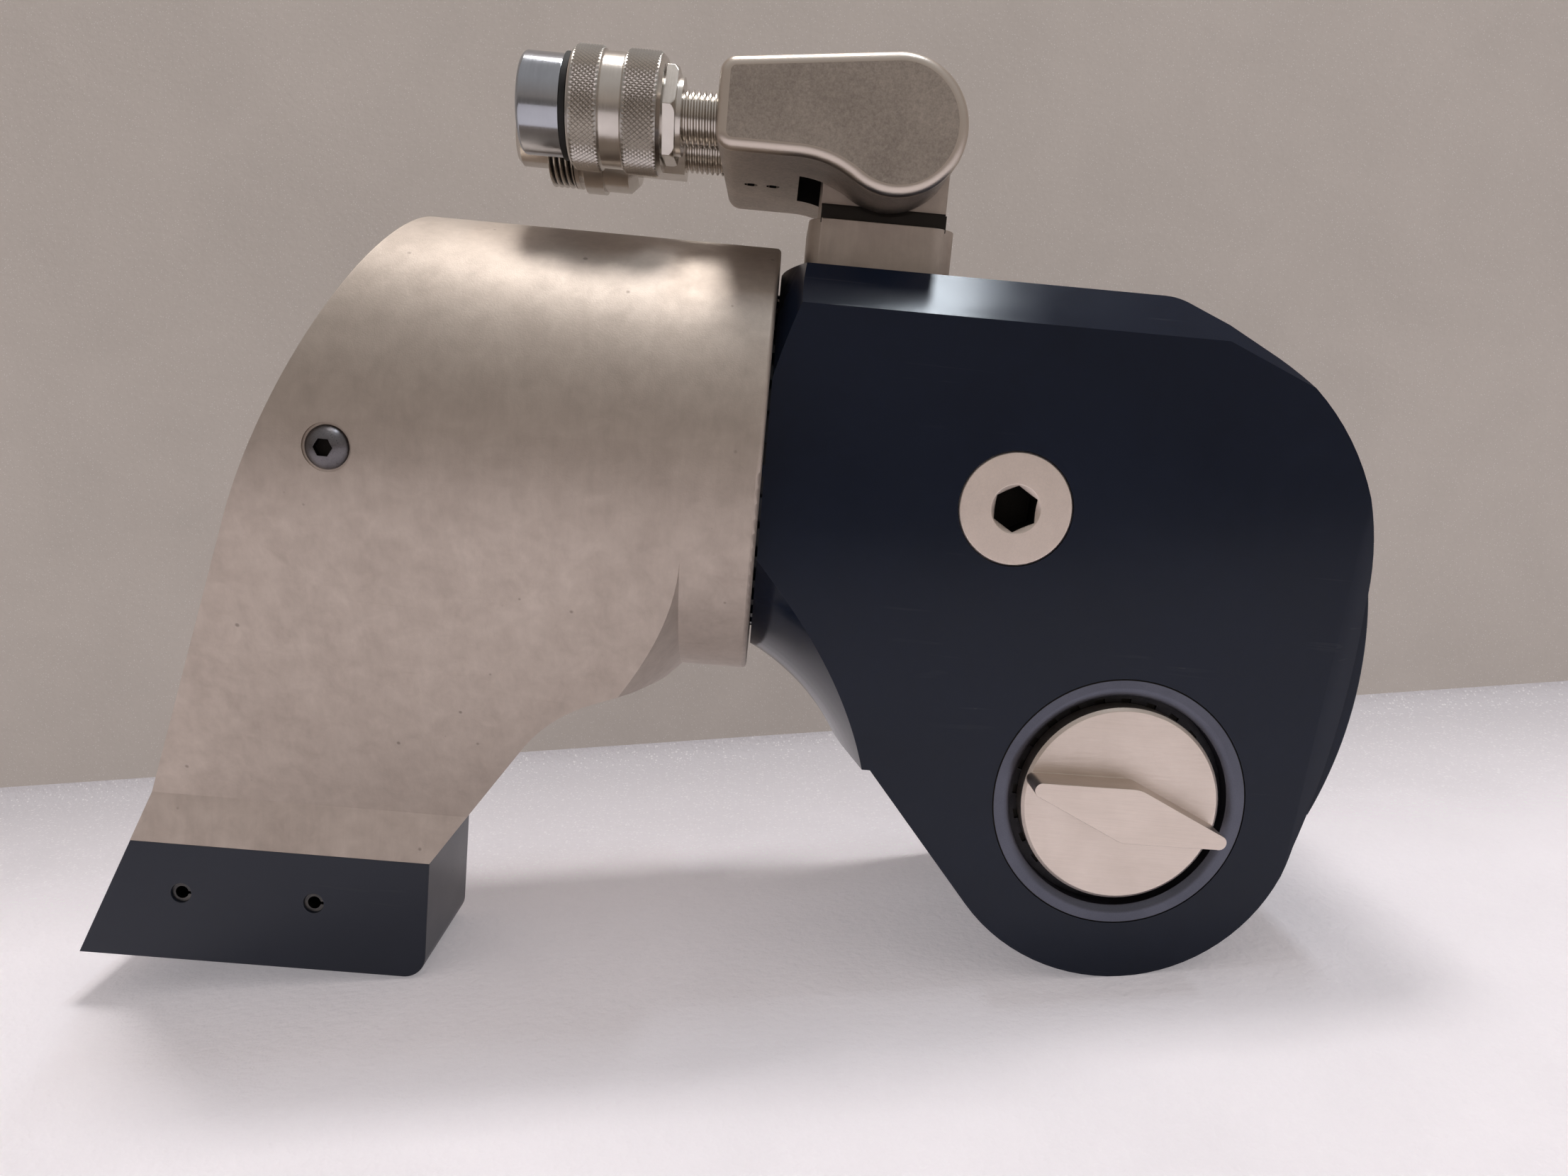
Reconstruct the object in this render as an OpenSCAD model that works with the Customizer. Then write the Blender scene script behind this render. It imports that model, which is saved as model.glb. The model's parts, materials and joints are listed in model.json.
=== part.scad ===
// Square-drive hydraulic torque wrench: ratchet housing with a double-acting cylinder,
// a two-axis swivel manifold with quick couplers, and a splined reaction arm with a bolted-on pad.
// X runs along the cylinder, from the reaction arm towards the drive. Y runs across the tool, from
// the retainer knob to the square. Z is up. The origin is on the drive axis, midway across the housing.

/* [Housing] */
// Width across the flat sides
housing_w = 92; // [88:1:98]
// Height of the cylinder axis above the drive axis
axis_h = 76; // [75:0.5:79]
// Radius of the turned shoulder next to the reaction arm
shoulder_r = 51; // [50:0.5:53]
// Distance from the drive axis to the shoulder's face
shoulder_len = 97; // [96:1:104]
// Radius of the nose round the drive
nose_r = 47; // [46:0.5:50]
// Radius of the crown above the drive
crown_r = 62.5; // [60:0.5:64]
// Distance of the crown's centre behind the drive axis
crown_back = 7; // [5:0.5:9]
// Height of the crown's centre above the drive axis
crown_up = 60; // [57:0.5:61]
// Radius of the bend where the flat top turns down to the crown
bend_r = 12; // [8:1:16]
// Distance of that bend's centre behind the drive axis
bend_back = 2; // [0:0.5:6]
// Radius of the rear edge between crown and nose
rear_r = 205; // [180:5:240]
// Chamfer along the top edges
top_chamfer = 10.5; // [6:0.5:12]
// Length of the top chamfer beyond the bend
corner_run = 13.6; // [11:0.2:15]
// Slope of the chamfer that follows it down the crown, in degrees
corner_angle = 22.5; // [20:0.5:25]
// Width of the lead-in along the rear edge
rear_chamfer = 5.7; // [4:0.1:6.5]
// Depth of that lead-in for each millimetre of its width
rear_chamfer_slope = 0.28; // [0.2:0.02:0.5]
// Slope of the belly between nose and shoulder, in degrees from the vertical
belly_angle = 40; // [37:1:43]
// Distance of the belly's upper end behind the drive axis
belly_back = 64; // [60:1:67]
// Slope of the cone above the shoulder, as rise over run
cone_slope = 1.84; // [1.6:0.02:2]
// Radius of the hollow scooped out below the shoulder
scoop_r = 60; // [55:1:64]
// Distance of the hollow's centre beyond the shoulder's face
scoop_back = 26; // [22:1:30]
// Width of the slot that the ratchet works in
slot_w = 52; // [50:1:54]
// Radius of the rear cover's bulge
cover_r = 110; // [100:5:130]
// Width of the rear cover
cover_w = 86; // [80:1:88]
// Height of the rear cover's upper end above the drive axis
cover_top = 59; // [56:0.5:60]
// Thickness of the rear cover at its upper end
cover_lip = 0.8; // [0.6:0.1:1.2]
// Thickness of the rear cover at its lower end
cover_foot = 1.6; // [1.2:0.1:2]
// Heights of the rear cover's screws above the drive axis
cover_screw_low = 18; // [14:1:20]
cover_screw_high = 42; // [38:1:46]
// Thread diameter of the rear cover's screws
cover_screw_d = 5; // [4:0.5:5]
// Length of the rear cover's screws
cover_screw_len = 16; // [12:1:20]
// Head height of the rear cover's screws
cover_screw_head_h = 1.4; // [1.2:0.1:1.6]

/* [Cylinder] */
// Piston bore
bore_d = 50; // [46:1:52]
// Piston rod diameter
rod_d = 24; // [20:1:25]
// Piston stroke
stroke = 34; // [28:1:36]
// Length of the splined barrel
barrel_len = 93; // [90:1:98]
// Outside diameter of the barrel's spline
spline_d = 92; // [88:1:94]
// Depth of the spline's teeth
spline_h = 2.4; // [1.6:0.2:3]
// Number of spline teeth
spline_teeth = 36; // [24:6:48]
// Piston thickness
piston_len = 22; // [18:1:24]
// Length of the rod gland
gland_len = 18; // [14:1:20]
// Thickness of the end cap's flange
cap_flange = 6; // [4:0.5:8]
// Depth of the end cap's thread
cap_depth = 12; // [10:0.5:13]

/* [Crank and ratchet] */
// Rod pin diameter
rod_pin_d = 16; // [12:1:18]
// Radius of the crank's lug round the rod pin
lug_r = 15; // [13:0.5:16]
// Radius of the crank plates round the ratchet's hub
crank_r = 36; // [33:1:38]
// Thickness of a crank plate
crank_t = 8.2; // [6:0.2:8.4]
// Tip radius of the ratchet's teeth
tooth_tip_r = 41; // [40:0.5:42]
// Depth of the ratchet's teeth
tooth_h = 4; // [3:0.5:5]
// Number of ratchet teeth
ratchet_teeth = 36; // [30:2:40]
// Angle of the tooth face that the pawl pushes, from the vertical
pawl_face = -10; // [-14:1:-6]
// Distance of the pawl's pivot from the drive axis
pawl_pivot_r = 52; // [50:0.5:54]
// Diameter of the pawl's pin
pawl_pin_d = 8; // [6:0.5:9]
// Radius of the pawl round its pin
pawl_boss_r = 6; // [5.5:0.1:6.5]
// Diameter of the pin that holds the pawl's spring
spring_pin_d = 5; // [4:0.5:6]

/* [Drive] */
// Width of the square across its flats
square_w = 38.1; // [31.75:0.05:38.1]
// Length of the square
square_len = 38; // [32:1:44]
// Outside diameter of a drive bush
bush_d = 64.5; // [62:0.5:67]
// Diameter of the ratchet's hub in the bushes
hub_d = 55.5; // [54:0.5:56.5]
// Outside diameter of the drive's spline
drive_spline_d = 52; // [50:0.5:52.5]
// Depth of the drive's spline teeth
drive_spline_h = 2.2; // [1.6:0.2:2.6]
// Number of teeth on the drive's spline
drive_spline_teeth = 24; // [18:2:30]
// How far the hub and the drive sit below the bushes' faces
hub_recess = 5; // [3:0.5:6]
// Diameter of the retainer knob
knob_d = 50.2; // [47:0.2:52]
// Height of the wing on the knob
wing_h = 9; // [6:0.5:11]
// Width of the wing at its middle
wing_w = 14; // [10:0.5:16]
// Width of the wing at its ends
wing_end_w = 3.7; // [3:0.1:6]
// Slope of the wing at rest, in degrees
wing_angle = 12; // [8:1:16]
// Diameter of the retainer's stem
stem_d = 12; // [10:0.5:14]

/* [Access plug] */
// Diameter of the plug
plug_d = 28.4; // [26:0.2:30]
// Key size of the plug's hex socket
plug_key = 10; // [8:1:12]
// Depth of the plug
plug_depth = 13; // [10:1:15]
// Position of the plug behind the drive axis
plug_back = 35; // [33:0.5:37]
// Height of the plug above the drive axis
plug_up = 72; // [70:0.5:75]

/* [Swivel] */
// Distance of the swivel's axis behind the drive axis
swivel_back = 72; // [70:0.5:74]
// Size of the swivel base along the tool
base_l = 38; // [36:0.5:42]
// Size of the swivel base across the tool
base_w = 40; // [38:0.5:44]
// Height of the swivel base
base_h = 13.4; // [11:0.2:15]
// Radius of the base's corners
base_corner = 6.5; // [4:0.5:8]
// Height of the head's pivot above the housing
pivot_up = 33; // [32:0.5:36]
// Radius of the head's round end
head_r = 16.6; // [15.5:0.1:17]
// Width of the head across the tool
head_w = 82; // [76:1:88]
// Width of the tongue between the head's cheeks
tongue_w = 33; // [30:0.5:35]
// Length of the head from pivot to coupler face
head_len = 43.5; // [41:0.5:48]
// Height of the head at the coupler face
head_h = 21.4; // [20:0.2:24]
// Height of that face's middle above the pivot
head_up = 1.4; // [0:0.2:2]
// Radius of the hollow under the head
head_fillet = 25; // [20:1:30]
// Pivot pin diameter
pivot_d = 16; // [13:0.5:17]
// Diameter of the base's spigot
spigot_d = 26; // [22:1:28]
// Length of the base's spigot
spigot_len = 19; // [16:0.5:20]

/* [Couplers] */
// Distance between the two couplers
coupler_gap = 33.2; // [32:0.2:36]
// Height of the couplers' axes above the pivot
coupler_up = 2.4; // [1:0.2:4]
// Diameter of the couplers' pipe thread
thread_d = 13.7; // [12:0.1:15]
// Key size of the socket's hex
socket_key = 22; // [20:1:24]
// Diameter of the knurled collar
collar_d = 30.2; // [28:0.2:31.5]
// Diameter of the collar's plain band
band_d = 28; // [25:0.2:29]
// Length of the knurled collar
collar_len = 23.2; // [20:0.2:26]
// Outside diameter of the polished sleeve
sleeve_d = 24.8; // [23:0.2:26]
// Bore of the polished sleeve
sleeve_bore_d = 18.8; // [18:0.1:19.4]
// Length of the polished sleeve
sleeve_len = 10.8; // [9:0.2:12]
// Diameter of the nipple's nose
nose_d = 18.4; // [17:0.1:19]
// Length of the nipple's nose
nose_len = 11.2; // [9:0.2:13]
// Diameter of the nipple's screw thread
nipple_thread_d = 28; // [26:0.2:29]
// Diameter of the nipple's flange
nipple_flange_d = 30; // [29:0.2:32]
// Length of the couplers' neck outside the head
neck_len = 11.2; // [10:0.2:13]
// Length of the couplers' neck inside the head
neck_in = 8.5; // [7:0.5:10]
// Length of the nipple's hex behind its body
nipple_hex_len = 13; // [11:0.5:14]
// Length of the nipple's body
nipple_body_len = 9.5; // [8:0.5:11]
// Length of the nipple's flange with its groove
nipple_flange_len = 6.8; // [6:0.2:8]
// Length of the nipple's screw thread
nipple_screw_len = 6.8; // [6:0.2:8]

/* [Reaction arm] */
// Diameter of the arm's ring
arm_d = 116; // [112:1:122]
// Gap between the arm and the shoulder
arm_gap = 0.6; // [0.4:0.1:1.2]
// Radius of the ring's front edge
arm_edge = 1.2; // [0.8:0.1:2]
// Length of the ring that is turned free of the leg
ring_len = 17.7; // [16:0.1:20]
// Distance of the leg's front corner behind the ring's front
leg_step_back = 32; // [30:0.5:34]
// Depth of that corner below the cylinder axis
leg_step_down = 61.6; // [60:0.2:63]
// Radius of the hollow in the leg's front
leg_fillet = 42; // [34:1:46]
// Width of the arm's foot and of the pad
foot_w = 42; // [38:1:48]
// Slope of the arm's back, in degrees from the vertical
back_angle = 22.4; // [20:0.2:24]
// Where the back's line meets the top of the pad, behind the drive axis
foot_back = 263; // [258:1:268]
// Where the pad's front face is, behind the drive axis
foot_front = 180.5; // [176:0.5:184]
// Height of the pad's top below the drive axis
foot_down = 42; // [40:0.5:44]
// Height of the pad
pad_h = 34; // [30:1:38]
// Height of the upright band above the pad
foot_band = 14.5; // [10:0.5:18]
// Radius of the pad's lower front edge
pad_round = 6; // [3:0.5:8]
// Diameter of the pad's pins
pad_pin_d = 5.6; // [4:0.2:6]
// Distance of the rear pin in front of the pad's upper rear edge
pad_pin_in = 14.1; // [11:0.1:17]
// Distance between the pad's pins
pad_pin_gap = 36.7; // [34:0.1:40]
// Depth of the pins below the pad's top
pad_pin_down = 14.3; // [12:0.1:16]
// Wall of the pad beside the arm's tenon
pad_wall = 11; // [9:0.5:12]
// Distance of the clamp screw in front of the arm's sloping back
screw_back = 17.6; // [14:0.1:20]
// Thread diameter of the clamp screw
screw_d = 6; // [5:1:8]

/* [Fits] */
// Radial clearance of running shafts
run_gap = 0.05; // [0.02:0.01:0.1]
// Radial clearance of fixed pieces
fit_gap = 0.02; // [0.01:0.01:0.05]
// Clearance between other moving faces
side_gap = 0.4; // [0.3:0.05:0.6]
// Clearance between the pawl's toe and the tooth that it pushes
pawl_gap = 0.25; // [0.15:0.05:0.4]
// Clearance under the swivel base
base_gap = 0.1; // [0.05:0.05:0.3]

/* [Hidden] */
$fn = 96;
nick = 1;
far = 400;

half_w = housing_w / 2;
top_z = axis_h + shoulder_r;
crown_c = [-crown_back, crown_up];
bend_c = [-bend_back, top_z - bend_r];
slot_half = slot_w / 2;
rear_turn = [5, 10];
rear_high = crown_c + crown_r * dir(-rear_turn[0]);
rear_low = nose_r * dir(-rear_turn[1]);
rear_c = arc_centre(rear_high, rear_low, rear_r);
rear_lean = 4.2;
cover_high = [crown_c[0] + sqrt(pow(crown_r, 2) - pow(cover_top - crown_c[1], 2)) + cover_lip, cover_top];
cover_low = [rear_c[0] + sqrt(pow(rear_r, 2) - pow(rear_c[1], 2)) + cover_foot, 0];
cover_c = arc_centre(cover_high, cover_low, cover_r);

barrel_end = -shoulder_len - barrel_len;
spline_r = spline_d / 2;
bore_r = bore_d / 2;
rod_r = rod_d / 2;
cap_r = bore_r + 3;
cap_flange_r = bore_r + 9;
cap_inner = barrel_end + cap_depth;
piston_x = cap_inner + 3;
pin_x = -stroke / 2;
gland_x = -shoulder_len + 5;
gland_end = gland_x + gland_len;
crank_tilt = atan(stroke / 2 / axis_h);
lug_far_r = sqrt(pow(stroke / 2, 2) + pow(axis_h, 2));
crank_y = slot_half - side_gap - crank_t;
ratchet_half = crank_y - side_gap;
eye_r = lug_r - 1;
eye_half = ratchet_half - 2;

hub_r = hub_d / 2;
hub_end = half_w - hub_recess;
drive_r = drive_spline_d / 2;
knob_r = knob_d / 2;
knob_t = hub_recess + 1;
collar_y = half_w + 4;

base_z = top_z + base_gap;
pivot = [-swivel_back, top_z + pivot_up];
head_face = pivot[0] - head_len;
head_mid_z = pivot[1] + head_up;
slot_in_head = tongue_w / 2 + side_gap;
scoop_clear = head_r + 1.2;
spigot_r = spigot_d / 2;

coupler_z = pivot[1] + coupler_up;
socket_y = -coupler_gap / 2;
nipple_y = coupler_gap / 2;
thread_r = thread_d / 2;
hex_x = head_face - neck_len;
hex_t = 3;
collar_x = hex_x - hex_t - side_gap;
collar_end = collar_x - collar_len;
ring_t = 1.9;
sleeve_x = collar_end - ring_t;
sleeve_end = sleeve_x - sleeve_len;
body_r = 10;
nipple_body_x = hex_x - nipple_hex_len;
nipple_flange_x = nipple_body_x - nipple_body_len;
nipple_screw_x = nipple_flange_x - nipple_flange_len;
nipple_nose_x = nipple_screw_x - nipple_screw_len;
nipple_tip = nipple_nose_x - nose_len;
nipple_key = 17;
valve_len = 20;

arm_r = arm_d / 2;
arm_x = -shoulder_len - arm_gap;
screw_seat = -arm_r + 0.7;
foot_half = foot_w / 2;
back_slope = tan(back_angle);
band_z = -foot_down + foot_band;
leg_x = arm_x - ring_len;
leg_step = [arm_x - leg_step_back, axis_h - leg_step_down];
leg_slopes = [23, 56];
tenon_half = foot_half - pad_wall;
tenon_gap = 0.1;

black = "#161a24";
nickel = "#a59a8c";
steel = "#8b8d90";
dark_steel = "#3c3f44";
bronze = "#9a7440";
rubber = "#1b1b1b";

// Point at a radius and an angle from the vertical, positive towards the reaction arm
function polar(r, a) = [-r * sin(a), r * cos(a)];

// Unit direction at an angle from the first axis
function dir(a) = [cos(a), sin(a)];

// Angle from the centre line to the points where the outer tangents of two circles touch
function tangent_angle(c1, r1, c2, r2) = acos((r1 - r2) / norm(c2 - c1));

// Centre of an arc through an upper and a lower point, behind them
function arc_centre(high, low, r) =
    let (chord = norm(high - low), out = [high[1] - low[1], low[0] - high[0]] / chord)
        (high + low) / 2 - out * sqrt(pow(r, 2) - pow(chord / 2, 2));

// Where two lines of the side view meet, each through a point and at an angle
function meet(p, a, q, b) = p + dir(a) * cross(q - p, dir(b)) / cross(dir(a), dir(b));

// Where the arm's sloping back is along the tool, at a height
function back_x(z) = -foot_back + (z + foot_down) * back_slope;

// Where the arm's clamp screw is in the side view
function screw_spot() = [back_x(axis_h - 3) + screw_back, axis_h - 3];

// Extrudes a side view between two positions across the tool
module slab(y0, y1) {
    translate([0, y1, 0])
        rotate([90, 0, 0])
            linear_extrude(y1 - y0)
                children();
}

// Round bar across the tool
module peg(p, r, y0, y1) {
    translate([p[0], y1, p[1]])
        rotate([90, 0, 0])
            cylinder(h = y1 - y0, r = r);
}

// Places children so that their own Z runs along the tool
module along(y, z) {
    translate([0, y, z])
        rotate([0, 90, 0])
            children();
}

// Round bar along the tool
module bar(y, z, r, x0, x1) {
    along(y, z)
        translate([0, 0, x0])
            cylinder(h = x1 - x0, r = r);
}

// Strip between the outer tangents of two circles, a hair inside them
module strip(c1, r1, c2, r2) {
    inset = 0.02;
    a = atan2(c2[1] - c1[1], c2[0] - c1[0]);
    b = tangent_angle(c1, r1, c2, r2);
    polygon([c1 + (r1 - inset) * dir(a + b), c2 + (r2 - inset) * dir(a + b), c2 + (r2 - inset) * dir(a - b),
        c1 + (r1 - inset) * dir(a - b)]);
}

// Two circles and the strip between them
module link(c1, r1, c2, r2) {
    translate(c1)
        circle(r1);
    translate(c2)
        circle(r2);
    strip(c1, r1, c2, r2);
}

// Rectangle with round corners
module round_rect(l, w, r) {
    square([l - 2 * r, w], center = true);
    square([l, w - 2 * r], center = true);
    for (x = [-1, 1])
        for (y = [-1, 1])
            translate([x * (l / 2 - r), y * (w / 2 - r)])
                circle(r);
}

// Straight-sided spline, or the matching hole when the clearance is positive
module spline(r, h, teeth, gap = 0) {
    pitch = 360 / teeth;
    circle(r - h + gap);
    for (i = [0:teeth - 1])
        rotate(i * pitch)
            polygon([[0, -r * sin(pitch * 0.25) - gap], [r + gap, -r * sin(pitch * 0.17) - gap],
                [r + gap, r * sin(pitch * 0.17) + gap], [0, r * sin(pitch * 0.25) + gap]]);
}

// O-ring about its own Z
module o_ring(r_out, wire) {
    rotate_extrude()
        translate([r_out - wire, 0])
            circle(wire, $fn = 24);
}

// Round-wire compression spring about its own Z
module coil(r, wire, length, turns) {
    sides = 6;
    steps = 12 * turns;
    rise = (length - 2 * wire) / steps;
    points = [for (i = [0:steps]) for (k = [0:sides - 1])
        let (a = i * 360 / 12, b = k * 360 / sides, q = r + wire * cos(b))
            [q * cos(a), q * sin(a), wire + i * rise + wire * sin(b)]];
    walls = [for (i = [0:steps - 1]) for (k = [0:sides - 1])
        [i * sides + k, (i + 1) * sides + k, (i + 1) * sides + (k + 1) % sides, i * sides + (k + 1) % sides]];
    caps = [[for (k = [0:sides - 1]) k], [for (k = [sides - 1:-1:0]) steps * sides + k]];
    polyhedron(points, concat(walls, caps), convexity = 8);
}

// Side view of the rear edge between the crown and the nose
module rear_outline() {
    reach = 2 * crown_r;
    intersection() {
        translate(rear_c)
            circle(rear_r, $fn = 288);
        polygon([crown_c, crown_c + reach * dir(-rear_turn[0]), reach * dir(-rear_turn[1]), [0, 0]]);
    }
}

// Side view of the housing, before the shoulder is turned
module housing_outline() {
    inset = 0.02;
    belly = nose_r * dir(180 + belly_angle);
    foot = [-belly_back, belly[1] + (belly_back + belly[0]) / tan(belly_angle)];
    link(bend_c, bend_r - inset, crown_c, crown_r);
    rear_outline();
    circle(nose_r);
    polygon([[-shoulder_len, top_z], [bend_c[0], top_z], bend_c, crown_c, [0, 0], belly, foot,
        [-shoulder_len, foot[1]]]);
}

// Cuts both side edges along a line of the side view, given by a point and an angle
module edge_cuts(p, a, slope) {
    reach = 30;
    translate([p[0], 0, p[1]])
        rotate([0, -a, 0])
            for (s = [-1, 1])
                translate([-far, 0, 0])
                    rotate([90, 0, 90])
                        linear_extrude(2 * far)
                            polygon([[s * (half_w + nick), -nick / slope], [s * (half_w + nick), reach],
                                [s * (half_w - reach * slope), reach]]);
}

// Chamfers of the top, the crown and the rear edge
module housing_chamfers() {
    top_edge = top_z - top_chamfer;
    edge_cuts([0, top_edge], 0, 1);
    edge_cuts([bend_c[0] + corner_run, top_edge], -corner_angle, 1);
    edge_cuts(crown_c + [crown_r - rear_chamfer, 0], -90 - rear_lean, rear_chamfer_slope);
}

// Turns the end next to the arm: a steep cone above, a deep hollow below
module shoulder_cuts() {
    cone_r = 30;
    cone_x = cone_r / cone_slope;
    hollow_x = -shoulder_len - scoop_back;
    hollow_r = shoulder_r + sqrt(pow(scoop_r, 2) - pow(scoop_back, 2));
    intersection() {
        along(0, axis_h)
            rotate_extrude()
                polygon([[shoulder_r, -shoulder_len], [shoulder_r, -shoulder_len - nick],
                    [shoulder_r + cone_r, -shoulder_len - nick],
                    [shoulder_r + cone_r, -shoulder_len + cone_x]]);
        translate([-far, -far, axis_h])
            cube(2 * far);
    }
    intersection() {
        along(0, axis_h)
            rotate_extrude()
                translate([hollow_r, hollow_x])
                    circle(scoop_r);
        translate([-far, -far, axis_h - 2 * far])
            cube(2 * far);
    }
}

// Side view of the slot that the crank and the ratchet swing in
module slot_outline() {
    clear_r = tooth_tip_r + 2;
    lug_clear = lug_r + 2.5;
    for (x = [-1, 1])
        link([0, 0], clear_r, [x * stroke / 2, axis_h], lug_clear);
    translate([-stroke / 2, axis_h - lug_clear])
        square([stroke, 2 * lug_clear]);
    translate([0, 2])
        square([far, cover_top - 14]);
}

// Machined block with the splined barrel, hollowed for the ratchet, the cylinder and the swivel
module housing() {
    color(black)
        difference() {
            union() {
                difference() {
                    slab(-half_w, half_w)
                        housing_outline();
                    housing_chamfers();
                    shoulder_cuts();
                }
                along(0, axis_h)
                    translate([0, 0, barrel_end])
                        linear_extrude(barrel_len + nick)
                            spline(spline_r, spline_h, spline_teeth);
            }
            slab(-slot_half, slot_half)
                slot_outline();
            bar(0, axis_h, bore_r, barrel_end - nick, gland_end);
            bar(0, axis_h, cap_r, barrel_end - nick, cap_inner);
            bar(0, axis_h, rod_r + 3, gland_end - nick, pin_x);
            peg([0, 0], bush_d / 2 + fit_gap, -half_w - nick, half_w + nick);
            peg([-plug_back, plug_up], plug_d / 2 + fit_gap, -half_w - nick, -half_w + plug_depth);
            peg([-plug_back, plug_up], plug_d / 2 - 4, -half_w, -rod_r);
            translate([-swivel_back, 0, top_z - spigot_len - 0.5])
                cylinder(h = spigot_len + nick, r = spigot_r + run_gap);
            translate([-swivel_back, 0, top_z - spigot_len + 1.6])
                cylinder(h = 2.2, r = spigot_r + 1.5);
            for (p = cover_screw_spots())
                bar(p[1], p[0], cover_screw_d / 2 + fit_gap,
                    cover_screw_seat(p[0]) - cover_screw_len - nick, far);
        }
}

// Side view of the cover that closes the slot behind the ratchet
module cover_outline() {
    difference() {
        intersection() {
            translate(cover_c)
                circle(cover_r, $fn = 192);
            translate([nose_r / 2, cover_low[1]])
                square([far, cover_top - cover_low[1]]);
        }
        translate(crown_c)
            circle(crown_r);
        rear_outline();
    }
}

// Where the cover's outside is, at a height
function cover_x(z) = cover_c[0] + sqrt(pow(cover_r, 2) - pow(z - cover_c[1], 2));

// Screws of the cover, each as its height and its distance from the middle
function cover_screw_spots() = [for (z = [cover_screw_low, cover_screw_high]) for (s = [-1, 1])
    [z, s * (slot_half + 7)]];

// Where the head of a cover screw sits
function cover_screw_seat(z) = cover_x(z) - cover_screw_head_h - 0.3;

// Curved cover on the housing's rear edge
module rear_cover() {
    color(black)
        difference() {
            slab(-cover_w / 2, cover_w / 2)
                cover_outline();
            for (p = cover_screw_spots()) {
                bar(p[1], p[0], cover_screw_d / 2 + 0.2, 0, far);
                bar(p[1], p[0], cover_screw_d * 0.9 + 0.2, cover_screw_seat(p[0]), far);
            }
        }
}

// Low-head screws that hold the rear cover
module cover_screws() {
    color(dark_steel)
        for (p = cover_screw_spots()) {
            seat = cover_screw_seat(p[0]);
            difference() {
                union() {
                    bar(p[1], p[0], cover_screw_d / 2, seat - cover_screw_len, seat + nick);
                    bar(p[1], p[0], cover_screw_d * 0.9, seat, seat + cover_screw_head_h);
                }
                along(p[1], p[0])
                    translate([0, 0, seat + 0.6])
                        cylinder(h = far, r = cover_screw_d * 0.36, $fn = 6);
            }
        }
}

// Plain bush that carries the ratchet's hub
module bush() {
    difference() {
        peg([0, 0], bush_d / 2, -half_w, -slot_half);
        peg([0, 0], hub_r + run_gap, -far, far);
        translate([0, -half_w, 0])
            rotate([-90, 0, 0])
                cylinder(h = 1.2, r1 = hub_r + 1.2, r2 = hub_r);
    }
}

// Bush on the knob's side
module front_bush() {
    color(black)
        bush();
}

// Bush on the square's side
module rear_bush() {
    color(black)
        mirror([0, 1, 0])
            bush();
}

// Hex-socket plug over the rod pin's access hole
module access_plug() {
    mouth_r = plug_key / sqrt(3) + 0.35;
    mouth_h = 1.5;
    color(nickel)
        translate([-plug_back, -half_w, plug_up])
            rotate([-90, 0, 0])
                difference() {
                    rotate_extrude()
                        polygon([[0, 0], [plug_d / 2 - 0.6, 0], [plug_d / 2, 0.6], [plug_d / 2, plug_depth],
                            [0, plug_depth]]);
                    translate([0, 0, -nick])
                        rotate(32)
                            cylinder(h = plug_depth - 4 + nick, r = plug_key / sqrt(3), $fn = 6);
                    translate([0, 0, -nick])
                        cylinder(h = nick + mouth_h, r1 = mouth_r + nick, r2 = mouth_r - mouth_h);
                }
}

// Screwed cap that closes the cylinder
module end_cap() {
    spanner_r = (cap_flange_r + 8) / 2;
    color(steel)
        difference() {
            along(0, axis_h)
                rotate_extrude()
                    polygon([[0, barrel_end - cap_flange], [cap_flange_r - 1.5, barrel_end - cap_flange],
                        [cap_flange_r, barrel_end - cap_flange + 1.5], [cap_flange_r, barrel_end],
                        [cap_r - fit_gap, barrel_end], [cap_r - fit_gap, cap_inner - 6],
                        [cap_r - 3, cap_inner - 6], [cap_r - 3, cap_inner - 2.4],
                        [cap_r - fit_gap, cap_inner - 2.4], [cap_r - fit_gap, cap_inner], [0, cap_inner]]);
            for (s = [-1, 1])
                bar(s * spanner_r, axis_h, 2.5, barrel_end - cap_flange - nick, barrel_end);
        }
}

// Seal in the end cap's groove
module cap_seal() {
    color(rubber)
        along(0, axis_h)
            translate([0, 0, cap_inner - 4.2])
                o_ring(cap_r - fit_gap, 1.45);
}

// Bearing and seal carrier for the rod
module rod_gland() {
    color(bronze)
        along(0, axis_h)
            rotate_extrude()
                polygon([[rod_r + run_gap, gland_x], [bore_r - fit_gap, gland_x],
                    [bore_r - fit_gap, gland_end], [rod_r + run_gap, gland_end],
                    [rod_r + run_gap, gland_x + 11], [rod_r + 4, gland_x + 11],
                    [rod_r + 4, gland_x + 5], [rod_r + run_gap, gland_x + 5]]);
}

// Lip seal in the gland
module rod_seal() {
    color(rubber)
        along(0, axis_h)
            rotate_extrude()
                polygon([[rod_r + run_gap, gland_x + 5.3], [rod_r + 3.8, gland_x + 5.3],
                    [rod_r + 3.8, gland_x + 10.6], [rod_r + 2.6, gland_x + 10.6], [rod_r + 2, gland_x + 8],
                    [rod_r + run_gap, gland_x + 10.2]]);
}

// Piston with a seal groove
module piston() {
    groove = piston_x + piston_len / 2 - 3;
    color(steel)
        along(0, axis_h)
            rotate_extrude()
                polygon([[0, piston_x], [bore_r - 2, piston_x], [bore_r - run_gap, piston_x + 2],
                    [bore_r - run_gap, groove], [bore_r - 4, groove], [bore_r - 4, groove + 6],
                    [bore_r - run_gap, groove + 6], [bore_r - run_gap, piston_x + piston_len],
                    [rod_r - 3, piston_x + piston_len], [rod_r - 3, piston_x + 6], [0, piston_x + 6]]);
}

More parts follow.
